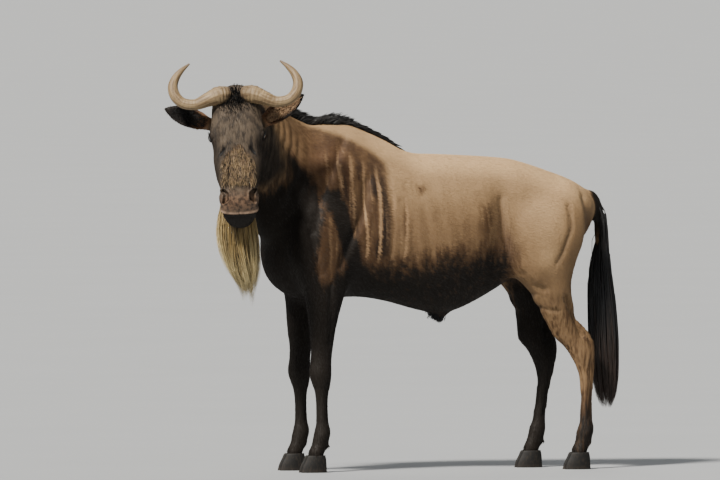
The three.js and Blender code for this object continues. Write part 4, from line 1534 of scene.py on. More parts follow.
class Wire:
    """A shader socket that can stand in a sum."""

    def __init__(self, paint: "Paint", socket: Socket) -> None:
        """Keeps the socket and the material it belongs to."""
        self.paint, self.socket = paint, socket

    def maths(self, operation: str, *values: "Wire | float") -> "Wire":
        """One Math node on these values."""
        return self.paint.node("ShaderNodeMath", dict(enumerate(values)), operation=operation)

    def __add__(self, other: "Wire | float") -> "Wire":
        """Sum."""
        return self.maths("ADD", self, other)

    def __sub__(self, other: "Wire | float") -> "Wire":
        """Difference."""
        return self.maths("SUBTRACT", self, other)

    def __rsub__(self, other: float) -> "Wire":
        """Difference from a number."""
        return self.maths("SUBTRACT", other, self)

    def __mul__(self, other: "Wire | float") -> "Wire":
        """Product."""
        return self.maths("MULTIPLY", self, other)

    __radd__ = __add__
    __rmul__ = __mul__

    def sine(self) -> "Wire":
        """Sine."""
        return self.maths("SINE", self)

    def cosine(self) -> "Wire":
        """Cosine."""
        return self.maths("COSINE", self)

    def held(self) -> "Wire":
        """Held between 0 and 1."""
        return self.maths("MINIMUM", self.maths("MAXIMUM", self, 0.0), 1.0)

    def step(self, low: float, high: float) -> "Wire":
        """0 at low and 1 at high, softly."""
        inputs = {0: self, 1: low, 2: high, 3: 0.0, 4: 1.0}
        return self.paint.node("ShaderNodeMapRange", inputs, interpolation_type="SMOOTHSTEP")


class Paint:
    """A material that is put together from nodes."""

    def __init__(self, name: str) -> None:
        """Starts an empty material.

        Args:
            name: the material's name.
        """
        self.material = bpy.data.materials.new(name)
        self.material.use_nodes = True
        self.tree = self.material.node_tree
        self.tree.nodes.clear()

    def node(self, kind: str, inputs: dict | None = None, output: int | str = 0, **settings: object) -> Wire:
        """Makes one node.

        Args:
            kind: the node's type.
            inputs: values or wires for its sockets, by name or number.
            output: the socket that is wanted from it.
            **settings: its own settings, which are set first.

        Returns:
            The wanted output.
        """
        made = self.tree.nodes.new(kind)
        for name, value in settings.items():
            setattr(made, name, value)
        for name, value in (inputs or {}).items():
            if isinstance(value, Wire):
                self.tree.links.new(value.socket, made.inputs[name])
            else:
                made.inputs[name].default_value = value
        return Wire(self, made.outputs[output])

    def share(self, name: str) -> Wire:
        """A number stored on the piece."""
        return self.node("ShaderNodeAttribute", output="Fac", attribute_name=name)

    def place(self, name: str) -> Wire:
        """A place stored on the piece."""
        return self.node("ShaderNodeAttribute", output="Vector", attribute_name=name)

    def stretched(self, place: Wire, upright: float) -> Wire:
        """A place whose height is scaled, so that a pattern on it runs upright."""
        return self.node("ShaderNodeMapping", {"Vector": place, "Scale": (1, 1, upright)})

    def noise(self, place: Wire, scale: float, detail: float) -> Wire:
        """Soft spots from 0 to 1; scale is their number in a metre."""
        return self.node("ShaderNodeTexNoise", {"Vector": place, "Scale": scale, "Detail": detail, "Roughness": 0.55})

    def mix(self, share: Wire | float, one: Wire | Colour, other: Wire | Colour) -> Wire:
        """One colour turning into another."""
        return self.node("ShaderNodeMix", {0: share, 6: one, 7: other}, 2, data_type="RGBA")

    def lit(self, colour: Wire, value: Wire) -> Wire:
        """A colour made lighter or darker."""
        return self.node("ShaderNodeHueSaturation", {"Color": colour, "Value": value})

    def bump(self, height: Wire, distance: float, strength: float) -> Wire:
        """The normal over a relief that is so many metres deep."""
        return self.node("ShaderNodeBump", {"Height": height, "Distance": distance, "Strength": strength})

    def finish(self, colour: Wire, roughness: Wire | float, specular: float, **more: Wire | float) -> Material:
        """Ends the material in one surface shader.

        Args:
            colour: its colour.
            roughness: how dull it is.
            specular: how much it reflects.
            **more: its other sockets, each with _ for a space.

        Returns:
            The material.
        """
        inputs = {"Base Color": colour, "Roughness": roughness, "Specular IOR Level": specular}
        inputs |= {name.replace("_", " "): value for name, value in more.items()}
        surface = self.node("ShaderNodeBsdfPrincipled", inputs)
        end = self.tree.nodes.new("ShaderNodeOutputMaterial")
        self.tree.links.new(surface.socket, end.inputs["Surface"])
        return self.material


# Finishes


@dataclass(frozen=True)
class CoatFinish:
    """Short hair with all its markings and its painted shade and highlights; the bare skin below carries the same
    ones.
    """

    name: str
    tufts: bool
    tan: Colour = tint(0.53, 0.425, 0.305)
    # The colour of painted shade, and of the coat's random darker patches.
    shaded: Colour = tint(0.35, 0.27, 0.19)
    # The colour of painted highlights.
    pale: Colour = tint(0.78, 0.65, 0.485)
    brown: Colour = tint(0.295, 0.215, 0.145)
    band: Colour = tint(0.13, 0.09, 0.065)
    line: Colour = tint(0.60, 0.485, 0.36)
    # Dark coat, which also serves as painted shadow.
    black: Colour = tint(0.092, 0.076, 0.062)
    warm: Colour = tint(0.34, 0.235, 0.155)
    face: Colour = tint(0.345, 0.30, 0.25)
    face_dark: Colour = tint(0.12, 0.10, 0.085)
    bridge: Colour = tint(0.115, 0.085, 0.06)
    nose: Colour = tint(0.43, 0.335, 0.26)
    nose_dark: Colour = tint(0.21, 0.16, 0.125)
    lip: Colour = tint(0.58, 0.48, 0.40)
    ear: Colour = tint(0.11, 0.09, 0.08)
    ear_warm: Colour = tint(0.46, 0.34, 0.25)

    def streaks(self, paint: Paint, root: Wire, scale: float, low: float, high: float) -> Wire:
        """Upright streaks from 0 to 1; scale is their number in a metre."""
        return paint.noise(paint.stretched(root, 0.12), scale, 3).step(low, high)

    def lines(self, paint: Paint, root: Wire) -> Wire:
        """Thin light upright lines that waver and fade in and out.

        Args:
            paint: the material.
            root: the root of each hair.

        Returns:
            A share for each place.
        """
        x = paint.node("ShaderNodeSeparateXYZ", {0: root}, "X")
        waver = paint.noise(paint.stretched(root, 0.4), 7, 3) * 7.0
        wide, close = (x + 0.081) * 131 + waver - 3.5, (x + 0.02) * 217 - waver * 1.3
        broken, faint = self.streaks(paint, root, 30, 0.34, 0.56), self.streaks(paint, root, 19, 0.42, 0.6)
        peaks = wide.cosine().step(0.6, 0.97) * (0.35 + broken * 0.65)
        more = close.cosine().step(0.7, 1.0) * (0.8 - broken * 0.6) * faint
        return (peaks + more).held()

    def colour(self, paint: Paint, root: Wire) -> Wire:
        """The colour of the coat at the root of each hair.

        Args:
            paint: the material.
            root: the root of each hair.

        Returns:
            The colour.
        """
        patch = paint.noise(root, 5, 4).step(0.35, 0.65)
        fine = self.streaks(paint, root, 110, 0.3, 0.7)
        # Random darker patches of the coat, and painted shade from the low share.
        colour = paint.mix((patch * 0.3 + fine * 0.2 + paint.share("low") * 0.8).held(), self.tan, self.shaded)
        # Painted highlight along the back and on the thigh.
        colour = paint.mix(paint.share("pale") * 0.85, colour, self.pale)
        brown, stripe = paint.share("brown"), paint.share("stripe")
        flank = stripe * (1 - brown) * self.streaks(paint, root, 26, 0.5, 0.66) * 0.6
        colour = paint.mix((brown * (0.8 + fine * 0.2) + flank).held(), colour, self.brown)
        bands = self.streaks(paint, root, 21, 0.44, 0.58)
        colour = paint.mix((bands * 0.85 + fine * 0.15) * brown * (0.4 + stripe * 0.6), colour, self.band)
        colour = paint.mix(paint.share("warm") * 0.6, colour, self.warm)
        colour = paint.mix(self.lines(paint, root) * stripe * 0.95, colour, self.line)
        # Brown smudges and streaks of the coat, and the painted shadow in front of the stifle.
        smudge = paint.share("smudge") * self.streaks(paint, root, 60, 0.4, 0.6) * 1.1
        colour = paint.mix(smudge.held(), colour, self.brown)
        # Dark coat and painted shadow, with a ragged brown edge.
        dark = paint.share("dark")
        wide = self.streaks(paint, root, 38, 0.38, 0.62)
        ragged = (dark * 1.3 + (fine - 0.6) * 0.4 + (wide - 0.5) * 0.28).held() * dark.step(0.0, 0.15)
        colour = paint.mix(ragged.step(0.0, 0.5) * 0.9, colour, self.brown)
        colour = paint.mix(ragged.step(0.25, 0.95) * 0.98, colour, self.black)
        grain = self.streaks(paint, root, 85, 0.42, 0.62)
        face = paint.mix(grain * 0.6 + paint.noise(root, 16, 3).step(0.4, 0.7) * 0.4, self.face, self.face_dark)
        # Painted shade on the sides of the face.
        face = paint.mix(paint.share("cheek") * 0.75, face, self.face_dark)
        colour = paint.mix(paint.share("face") * (1 - dark), colour, face)
        colour = paint.mix(paint.share("bridge") * 0.8, colour, self.bridge)
        mottle = paint.noise(root, 75, 4).step(0.38, 0.66)
        colour = paint.mix(paint.share("nose"), colour, paint.mix(mottle, self.nose, self.nose_dark))
        colour = paint.mix(paint.share("lip") * (1 - mottle * 0.45), colour, self.lip)
        ear = paint.mix(paint.share("ear_base"), self.ear, self.ear_warm)
        colour = paint.mix(paint.share("ear"), colour, ear)
        # Near-black gland slits, lids and nostrils: dark bare skin, with painted shade inside the nostrils.
        return paint.mix(paint.share("hollow"), colour, tint(0.045, 0.035, 0.035))

    def material(self) -> Material:
        """The material."""
        paint = Paint(self.name)
        root = paint.place("root")
        colour = self.colour(paint, root)
        if self.tufts:
            shade, tip = paint.share("shade"), paint.share("tip")
            value = 0.92 + tip * 0.16 + (shade - 0.5) * 0.16
            return paint.finish(paint.lit(colour, value), 0.66, 0.14)
        hair = paint.noise(paint.stretched(root, 0.22), 420, 2)
        pores = paint.noise(root, 900, 2)
        nose = paint.share("nose")
        relief = paint.bump(hair * 0.7 + pores * 0.3, 0.0012, 0.6)
        return paint.finish(paint.lit(colour, 0.8 + hair * 0.3), 0.68 - nose * 0.26, 0.3, Normal=relief)


@dataclass(frozen=True)
class HairFinish:
    """Long hair with a darker root and a paler or bleached tip."""

    name: str
    root: Colour
    middle: Colour
    tip: Colour
    spread: float = 0.5
    roughness: float = 0.5

    def material(self) -> Material:
        """The material."""
        paint = Paint(self.name)
        along, shade = paint.share("tip"), paint.share("shade")
        patch = paint.noise(paint.place("root"), 24, 2)
        colour = paint.mix(along.step(0.0, 0.35), self.root, self.middle)
        colour = paint.mix(along.step(0.45, 1.0), colour, self.tip)
        darker = ((shade - 0.45) * 1.4 + (patch - 0.5) * 1.2).held() * self.spread
        colour = paint.mix(darker, colour, self.root)
        return paint.finish(colour, self.roughness + shade * 0.15, 0.45)


@dataclass(frozen=True)
class HornFinish:
    """Cream horn that darkens at the rough boss, with fine growth lines and a worn tip."""

    cream: Colour = tint(0.56, 0.475, 0.345)
    tan: Colour = tint(0.38, 0.30, 0.20)
    boss: Colour = tint(0.27, 0.205, 0.135)
    tip: Colour = tint(0.30, 0.24, 0.20)

    def material(self) -> Material:
        """The material."""
        paint = Paint("horn")
        at = paint.node("ShaderNodeTexCoord", output="Object")
        along = paint.share("along")
        streak = paint.noise(paint.place("grain"), 1, 4)
        blotch = paint.noise(at, 34, 4)
        colour = paint.mix(streak.step(0.35, 0.68), self.cream, self.tan)
        colour = paint.mix((1 - along.step(0.02, 0.3)) * (0.25 + blotch * 0.9), colour, self.boss)
        colour = paint.mix(along.step(0.9, 1.0) * 0.55, colour, self.tip)
        crack = paint.noise(at, 160, 4).step(0.6, 0.72) * (1 - along.step(0.05, 0.45))
        colour = paint.mix(crack * 0.55, colour, self.tip)
        rings = (along * 210 + paint.noise(at, 40, 2) * 9).sine() * (1 - along.step(0.3, 0.8))
        height = rings * 0.22 + streak * 0.5 + (blotch - crack) * 0.6
        dullness = 0.5 + streak * 0.2 + (1 - along.step(0, 0.3)) * 0.15
        return paint.finish(colour, dullness, 0.5, Normal=paint.bump(height, 0.0018, 0.7))


@dataclass(frozen=True)
class EyeFinish:
    """A dark wet eye with a brown iris and a level pupil."""

    iris: Colour = tint(0.20, 0.12, 0.07)
    pupil: Colour = tint(0.03, 0.03, 0.035)
    white: Colour = tint(0.15, 0.11, 0.09)

    def material(self) -> Material:
        """The material."""
        paint = Paint("eye")
        ray = paint.noise(paint.place("look"), 14, 2)
        colour = paint.mix(ray * 0.6, self.iris, self.pupil)
        colour = paint.mix(paint.share("pupil"), colour, self.pupil)
        colour = paint.mix(paint.share("rim"), colour, self.white)
        return paint.finish(colour, 0.06, 0.6, Coat_Weight=1.0, Coat_Roughness=0.02)


@dataclass(frozen=True)
class HoofFinish:
    """Dark worn horn with growth rings and a paler scuffed edge."""

    dark: Colour = tint(0.055, 0.05, 0.045)
    worn: Colour = tint(0.16, 0.135, 0.11)

    def material(self) -> Material:
        """The material."""
        paint = Paint("hoof")
        at = paint.node("ShaderNodeTexCoord", output="Object")
        z = paint.node("ShaderNodeSeparateXYZ", {0: at}, "Z")
        rings = (z * 1500 + paint.noise(at, 45, 2) * 7).sine()
        scuff = paint.noise(paint.stretched(at, 0.4), 170, 4)
        low = 1 - z.step(0.004, 0.02)
        colour = paint.mix((scuff.step(0.45, 0.7) * 0.7 + low * 0.35).held(), self.dark, self.worn)
        relief = paint.bump(rings * 0.12 + scuff * 0.5, 0.0012, 0.5)
        return paint.finish(colour, 0.5 + scuff * 0.3, 0.3, Normal=relief)


# The short coat


class Build:
    """A Geometry Nodes tree in the making."""

    def __init__(self, name: str) -> None:
        """Starts a tree that takes and gives a mesh.

        Args:
            name: the tree's name.
        """
        self.tree = bpy.data.node_groups.new(name, "GeometryNodeTree")
        self.tree.interface.new_socket("Geometry", in_out="INPUT", socket_type="NodeSocketGeometry")
        self.tree.interface.new_socket("Geometry", in_out="OUTPUT", socket_type="NodeSocketGeometry")
        self.source = self.tree.nodes.new("NodeGroupInput")
        self.end = self.tree.nodes.new("NodeGroupOutput")

    def given(self, name: str, kind: str, value: object = None) -> str:
        """Adds a named input and returns its name.

        Args:
            name: the input's name.
            kind: its socket's type.
            value: what it holds at first.

        Returns:
            Its name.
        """
        socket = self.tree.interface.new_socket(name, in_out="INPUT", socket_type=kind)
        if value is not None:
            socket.default_value = value
        return name

    def node(self, kind: str, inputs: dict | None = None, **settings: object) -> bpy.types.Node:
        """Makes a node; an input may be a value, a socket, or the name of one of the tree's inputs after ">".

        Args:
            kind: the node's type.
            inputs: what its sockets get.
            **settings: its own settings, set first.

        Returns:
            The node.
        """
        made = self.tree.nodes.new(kind)
        for name, value in settings.items():
            setattr(made, name, value)
        for name, value in (inputs or {}).items():
            if isinstance(value, str) and value.startswith(">"):
                value = self.source.outputs[value[1:]]
            if isinstance(value, Socket):
                self.tree.links.new(value, made.inputs[name])
            else:
                made.inputs[name].default_value = value
        return made

    def named(self, name: str, kind: str = "FLOAT") -> Socket:
        """A value stored on the mesh."""
        return self.node("GeometryNodeInputNamedAttribute", {"Name": name}, data_type=kind).outputs[0]

    def maths(self, operation: str, one: object, other: object) -> Socket:
        """A number worked out from two others."""
        return self.node("ShaderNodeMath", {0: one, 1: other}, operation=operation).outputs[0]

    def chance(self, low: object, high: object, seed: int, kind: str = "FLOAT") -> Socket:
        """A random number or vector for each point.

        Args:
            low: the lowest value.
            high: the highest.
            seed: the seed.
            kind: FLOAT or FLOAT_VECTOR.

        Returns:
            The socket that gives it.
        """
        made = self.node("FunctionNodeRandomValue", data_type=kind)
        for name, value in (("Min", low), ("Max", high)):
            socket = next(s for s in made.inputs if s.name == name and s.enabled)
            socket.default_value = value
        made.inputs["Seed"].default_value = seed
        return next(s for s in made.outputs if s.enabled)


@dataclass
class ShortCoat:
    """Small tufts over one region of the skin, which lie the way the coat lies."""

    width: float = 0.2
    thickness: float = 0.35
    lift: float = 0.06
    seed: int = 7

    def blade(self) -> Piece:
        """One tuft: a thin closed blade with four faces, a metre long."""
        points = np.array([[-0.5, 0, 0], [0.5, 0, 0], [0, 0.25, 1], [0, 1, 0.3]], float)
        mesh = bpy.data.meshes.new("blade")
        mesh.from_pydata(points.tolist(), [], [(0, 2, 1), (0, 1, 3), (1, 2, 3), (2, 0, 3)])
        note(mesh, "tip", np.array([0, 0, 0.3, 1.0]))
        made = linked("blade", mesh)
        made.hide_render = True
        return made

    def tree(self) -> bpy.types.NodeTree:
        """The tree that sows tufts over a skin."""
        build = Build("short_coat")
        build.given("Blade", "NodeSocketObject")
        build.given("Region", "NodeSocketInt", 0)
        build.given("Closeness", "NodeSocketFloat", 1.0)
        build.given("Width", "NodeSocketFloat", self.width)
        build.given("Thickness", "NodeSocketFloat", self.thickness * MM)
        build.given("Finish", "NodeSocketMaterial")
        wanted = {2: build.named("region", "INT"), 3: ">Region"}
        here = build.node("FunctionNodeCompare", wanted, data_type="INT", operation="EQUAL")
        density = build.maths("MULTIPLY", build.named("closeness"), build.source.outputs["Closeness"])
        inputs = {"Mesh": ">Geometry", "Selection": here.outputs[0], "Density": density, "Seed": self.seed}
        sown = build.node("GeometryNodeDistributePointsOnFaces", inputs)
        points = sown.outputs["Points"]
        for name, kind, value in (
            ("root", "FLOAT_VECTOR", build.node("GeometryNodeInputPosition").outputs[0]),
            ("shade", "FLOAT", build.chance(0.0, 1.0, self.seed + 1)),
        ):
            inputs = {"Geometry": points, "Name": name, "Value": value}
            points = build.node("GeometryNodeStoreNamedAttribute", inputs, data_type=kind).outputs[0]
        inputs = {"Primary Axis": build.named("lie", "FLOAT_VECTOR"), "Secondary Axis": sown.outputs["Normal"]}
        laid = build.node("FunctionNodeAxesToRotation", inputs, primary_axis="Y", secondary_axis="Z")
        low, high = (self.lift - 0.05, -0.08, -0.18), (self.lift + 0.05, 0.08, 0.18)
        ruffle = build.chance(low, high, self.seed + 2, "FLOAT_VECTOR")
        turned = build.node("FunctionNodeRotateRotation", {0: laid.outputs[0], 1: ruffle}, rotation_space="LOCAL")
        length = build.maths("MULTIPLY", build.named("hair_length"), build.chance(0.7, 1.3, self.seed + 3))
        width = build.maths("MULTIPLY", build.named("hair_length"), build.source.outputs["Width"])
        size = build.node("ShaderNodeCombineXYZ", {0: width, 1: length, 2: ">Thickness"})
        blade = build.node("GeometryNodeObjectInfo", {"Object": ">Blade"})
        inputs = {"Points": points, "Instance": blade.outputs["Geometry"]}
        inputs |= {"Rotation": turned.outputs[0], "Scale": size.outputs[0]}
        set_out = build.node("GeometryNodeInstanceOnPoints", inputs)
        real = build.node("GeometryNodeRealizeInstances", {0: set_out.outputs[0]})
        dressed = build.node("GeometryNodeSetMaterial", {"Geometry": real.outputs[0], "Material": ">Finish"})
        build.tree.links.new(dressed.outputs[0], build.end.inputs[0])
        return build.tree

    def sow(
        self,
        skin: Piece,
        region: Region,
        tree: bpy.types.NodeTree,
        blade: Piece,
        finish: Material,
        closeness: float,
    ) -> Piece:
        """Grows the coat of one region.

        Args:
            skin: what it grows on.
            region: which part of the skin.
            tree: the tree that sows the tufts.
            blade: one tuft.
            finish: the material of the hair.
            closeness: share of the tufts that is kept.

        Returns:
            The coat as a plain piece.
        """
        made = linked(f"coat_{region.name.lower()}", skin.data.copy())
        modifier = made.modifiers.new("coat", "NODES")
        modifier.node_group = tree
        values = {"Blade": blade, "Region": region.value, "Closeness": closeness, "Finish": finish}
        for item in tree.interface.items_tree:
            if item.in_out == "INPUT" and item.name in values:
                modifier[item.identifier] = values[item.name]
        mesh = applied(made)
        roots, tips = read(mesh.attributes["root"].data, "vector", 3), read(mesh.attributes["tip"].data, "value")
        leaf = np.column_stack([np.arange(len(tips)) % 4 == 1, tips])
        bake_map(mesh, unwrapped(PLACE.back(roots), region), leaf)
        return made


def bake_map(mesh: Mesh, roots: Array, leaf: Array) -> None:
    """Gives hair its map for baking: each tuft has a small patch at its root's place.

    Args:
        mesh: the hair.
        roots: for each point where the root of its hair lies on the unwrapped skin.
        leaf: for each point its place within the patch, from 0 to 1.
    """
    corners = read(mesh.loops, "vertex_index", kind=np.int32)
    flat = 0.002 + 0.993 * roots + 0.003 * leaf
    layer = mesh.uv_layers.get("OFBake") or mesh.uv_layers.new(name="OFBake")
    layer.data.foreach_set("uv", flat[corners].astype(np.float32).ravel())


# The long hair


@dataclass
class Locks:
    """Long hair: each lock is a thin closed strand with three sides along its own line."""

    name: str
    lines: list[Array] = field(default_factory=list)
    widths: list[float] = field(default_factory=list)
    outs: list[Array] = field(default_factory=list)
    flatness: float = 0.45

    def add(self, line: Array, width: float, out: Array) -> None:
        """Adds a strand along a line; out is the way its flat side faces.

        Args:
            line: its points.
            width: half its width.
            out: the way its flat side faces.
        """
        self.lines.append(line)
        self.widths.append(width)
        self.outs.append(out)

    def piece(self, finish: Material, seed: int) -> Piece:
        """Makes one mesh of all the strands.

        Args:
            finish: the material.
            seed: the seed of its shades.

        Returns:
            The piece.
        """
        lines, outs = np.array(self.lines), np.array(self.outs)
        count, steps = lines.shape[:2]
        along = unit(np.gradient(lines, axis=1))
        side = unit(np.cross(along, outs[:, None]))
        up = np.cross(side, along)
        t = np.linspace(0, 1, steps)
        taper = np.clip(np.minimum(0.55 + 3 * t, 1.05 - t**2.4), 0.02, 1)
        half = (np.array(self.widths)[:, None] * taper)[..., None]
        corners = np.stack([lines - half * side, lines + half * side, lines + self.flatness * 2 * half * up], 2)
        points = np.concatenate([corners[:, :-1].reshape(count, -1, 3), lines[:, -1:]], 1)
        ring = np.arange((steps - 1) * 3).reshape(steps - 1, 3)
        after = np.roll(ring, -1, axis=1)
        quads = np.stack([ring[:-1], ring[1:], after[1:], after[:-1]], -1).reshape(-1, 4)
        tips = np.stack([ring[-1], np.full(3, (steps - 1) * 3), after[-1]], -1)
        shift = (np.arange(count) * points.shape[1])[:, None, None]
        start = np.array([[0, 1, 2]])
        rows = [(part[None] + shift).reshape(-1, part.shape[1]).tolist() for part in (quads, tips, start)]
        faces = [tuple(face) for part in rows for face in part]
        mesh = bpy.data.meshes.new(self.name)
        mesh.from_pydata(PLACE.into(points.reshape(-1, 3)).tolist(), [], faces)
        made = linked(self.name, mesh)
        tip = np.concatenate([np.repeat(t[:-1], 3), [1.0]])
        note(mesh, "tip", np.tile(tip, count))
        note(mesh, "shade", np.repeat(np.random.default_rng(seed).random(count), points.shape[1]))
        roots = np.repeat(lines[:, 0], points.shape[1], axis=0)
        note(mesh, "root", PLACE.into(roots))
        middle = lines[:, 0].mean(0)
        turn = np.arctan2(roots[:, 1] - middle[1], roots[:, 0] - middle[0]) / (2 * np.pi) + 0.5
        low, high = roots[:, 2].min(), roots[:, 2].max()
        leaf = np.column_stack([np.tile(np.arange(points.shape[1]) % 3 == 1, count), np.tile(tip, count)])
        bake_map(mesh, np.column_stack([turn, (roots[:, 2] - low) / (high - low + 1)]), leaf)
        return finished(made, finish)


def struck(skin: BVHTree, start: Array, way: Array, reach: float) -> Array | None:
    """Where a ray from start meets the skin within its reach, or None where it misses."""
    hit = skin.ray_cast(Vector(start), Vector(way), reach)[0]
    return None if hit is None else np.array(hit)


def bent(points: Sequence[Array], steps: int) -> Array:
    """A smooth line of so many points through a few given ones."""
    return Spline(np.array(points)).at(np.linspace(0, 1, steps))


@dataclass
class Mane:
    """Black hair along the crest, upright behind the ears and lying back over the withers."""

    count: int = 4400
    half_width: float = 24
    clump: int = 110
    lie: Rows = (
        (0, 8, 16), (0.12, 34, 40), (0.25, 44, 50), (0.42, 48, 56), (0.5, 37, 58), (0.69, 22, 62), (0.85, 16, 62),
        (1, 5, 48),
    )

    def crest(self) -> Spline:
        """The top line from behind the horns to behind the withers."""
        middle, _, up, size = NECK.frames(np.array([0.97, 0.82, 0.66, 0.5, 0.38]))
        neck = middle + up * size[:, :1]
        x = np.array([-360, -300, -215, -137, -90], float)
        back = TRUNK.back(x)
        return Spline(np.vstack([neck, np.column_stack([x, 0 * x, back])]))

    def build(self, skin: BVHTree, finish: Material) -> Piece:
        """Grows the mane on the skin, whose search tree is in millimetres.

        Args:
            skin: the skin, in millimetres.
            finish: the material.

        Returns:
            The piece.
        """
        dice = np.random.default_rng(3)
        crest, lie = self.crest(), Curve(self.lie)
        clumps = dice.normal(size=(self.clump, 3))
        locks = Locks("mane")
        for t in np.sort(dice.random(self.count)):
            at, along = crest.at(t)[0], crest.along(t)[0]
            side = unit(np.cross(SKY, along))
            up = np.cross(along, side)
            high, back = lie(t)[0]
            share = dice.normal() * 0.5
            lean = np.clip(share, -1, 1) * self.half_width * (1 - 0.3 * t - 0.5 * t**6)
            hit = struck(skin, at + side * lean + up * 90, -up, 200)
            if hit is None:
                continue
            root = hit - up * 3
            pull = clumps[int(t * self.clump)]
            grown = (0.84 + 0.07 * dice.normal() + 0.05 * pull[0]) * (1 - 0.35 * min(1, abs(share)) ** 2)
            side_way = 0.6 * lean + 5 * pull[1] + 3 * dice.normal()
            bend = root + up * (0.62 * high * grown + 2) + along * 0.22 * back + side * 0.35 * side_way
            tip = root + up * (high * grown + 3) + along * (back * grown + 7 * pull[2]) + side * side_way
            locks.add(bent([root, bend, tip], 7), 1.2, side)
        return locks.piece(finish, 31)


@dataclass
class Beard:
    """Long pale hair under the jaw. Each row of the table is a height, the middle ahead of the head's own place and
    to its left, and the half length and half width there."""

    count: int = 3900
    bottom: float = 668
    table: Rows = (
        (675, 16, 44, 10, 10), (715, 20, 36, 42, 38), (780, 24, 20, 66, 62), (860, 28, 6, 84, 75),
        (930, 30, 0, 92, 70), (1000, 12, 0, 76, 56), (1080, -18, 0, 46, 44), (1165, -46, 0, 16, 20),
    )

    def point(self, z: Array, angle: float, share: float) -> Array:
        """Places at these heights, at a share of the way from the middle to the outside.

        Args:
            z: heights.
            angle: the way from the middle.
            share: from 0 to 1.

        Returns:
            A place for each height.
        """
        ahead, aside, long, wide = Curve(self.table)(z).T
        ahead = ahead + share * long * math.cos(angle)
        aside = aside + share * wide * math.sin(angle)
        level = np.array([HEAD.at[0], HEAD.at[1], 0])
        return level + ahead[:, None] * HEAD.ahead + aside[:, None] * HEAD.left + np.outer(z, SKY)

    def build(self, skin: BVHTree, finish: Material) -> Piece:
        """Grows the beard on the jaw and the throat.

        Args:
            skin: the skin, in millimetres.
            finish: the material.

        Returns:
            The piece.
        """
        dice = np.random.default_rng(8)
        clumps = dice.normal(size=(24, 8, 3))
        locks = Locks("beard")
        for _ in range(self.count):
            angle, share = dice.random() * 2 * np.pi, math.sqrt(dice.random())
            hit = struck(skin, self.point(np.array([860.0]), angle, share)[0], SKY, 420)
            if hit is None:
                continue
            root = hit[2] + 4
            low = self.bottom + 34 * (1 - share) * dice.random() + 62 * share**2 * dice.random() ** 1.5
            pull = clumps[int(angle / 2 / np.pi * 24) % 24, int(share * 7.9)]
            low += 130 * dice.random() ** 3 + 20 * pull[2]
            z = np.linspace(root, low, 9)
            line = self.point(z, angle + 0.12 * dice.normal(), share)
            t = np.linspace(0, 1, 9)[:, None]
            wave = np.sin(t * (5 + 2 * pull[2]) + pull[0] * 3) * 3.2
            line = line + t**1.5 * (12 * pull + 4 * dice.normal(size=3)) * [1, 1, 0] + wave * t * HEAD.left
            line[0] = [hit[0], hit[1], root]
            out = HEAD.ahead * math.cos(angle) + HEAD.left * math.sin(angle)
            locks.add(line, 1.2, out)
        return locks.piece(finish, 82)


@dataclass
class Tail:
    """Long hair from the dock, down to the fetlocks. Each row is x, y, z and the radius."""

    count: int = 2200
    top: float = 1022
    bottom: float = 222
    dock: float = 33
    table: Rows = (
        (734, 0, 212, 12), (732, 0, 270, 34), (728, 0, 360, 46), (722, 0, 480, 50), (714, 0, 620, 46),
        (706, 0, 760, 38), (703, 0, 880, 33), (695, 0, 965, 31), (680, 0, 1010, 29),
    )

    def envelope(self, z: Array) -> tuple[Array, Array]:
        """The middle and the radius of the tail at these heights."""
        rows = Curve([(z_, x, r) for x, _, z_, r in self.table])(z)
        return rows[:, 0], rows[:, 1]

    def build(self, skin: BVHTree, finish: Material) -> Piece:
        """Grows the hair of the tail round the dock.

        Args:
            skin: the skin, in millimetres.
            finish: the material.

        Returns:
            The piece.
        """
        dice = np.random.default_rng(21)
        clumps = dice.normal(size=(30, 3))
        locks = Locks("tail_hair")
        for _ in range(self.count):
            top = self.top - 300 * dice.random() ** 0.95
            angle = (2 * dice.random() - 1) * np.pi * (1 if top < 900 else 0.5)
            way = np.array([math.cos(angle), math.sin(angle), 0])
            low = self.bottom + 210 * dice.random() ** 1.7
            if dice.random() < 0.1:
                low = max(low, top - 150 - 260 * dice.random())
            share = 0.55 + 0.45 * math.sqrt(dice.random())
            z = np.linspace(top, low, 15)
            x, r = self.envelope(z)
            pull = clumps[int(angle / 2 / np.pi * 30) % 30]
            t = np.linspace(0, 1, 15)
            wave = 3.5 * np.sin(t * (7 + 2 * pull[0]) + 3 * pull[1]) * t
            spread = r * share * ramp(t, -0.05, 0.3) * (1 + 0.11 * min(1.2, dice.normal()))
            line = np.column_stack([x, 0 * x, z]) + spread[:, None] * way
            line += (wave + 2.5 * dice.normal() * t)[:, None] * np.array([-way[1], way[0], 0])
            middle = np.array([float(self.envelope(np.array([top]))[0][0]), 0, top])
            hit = struck(skin, middle + way * 60, -way, 60)
            near = hit is not None and np.linalg.norm(hit - middle) < self.dock
            line[0] = hit - way * 2 if near else middle
            locks.add(line, 2.1, way)
        return locks.piece(finish, 12)


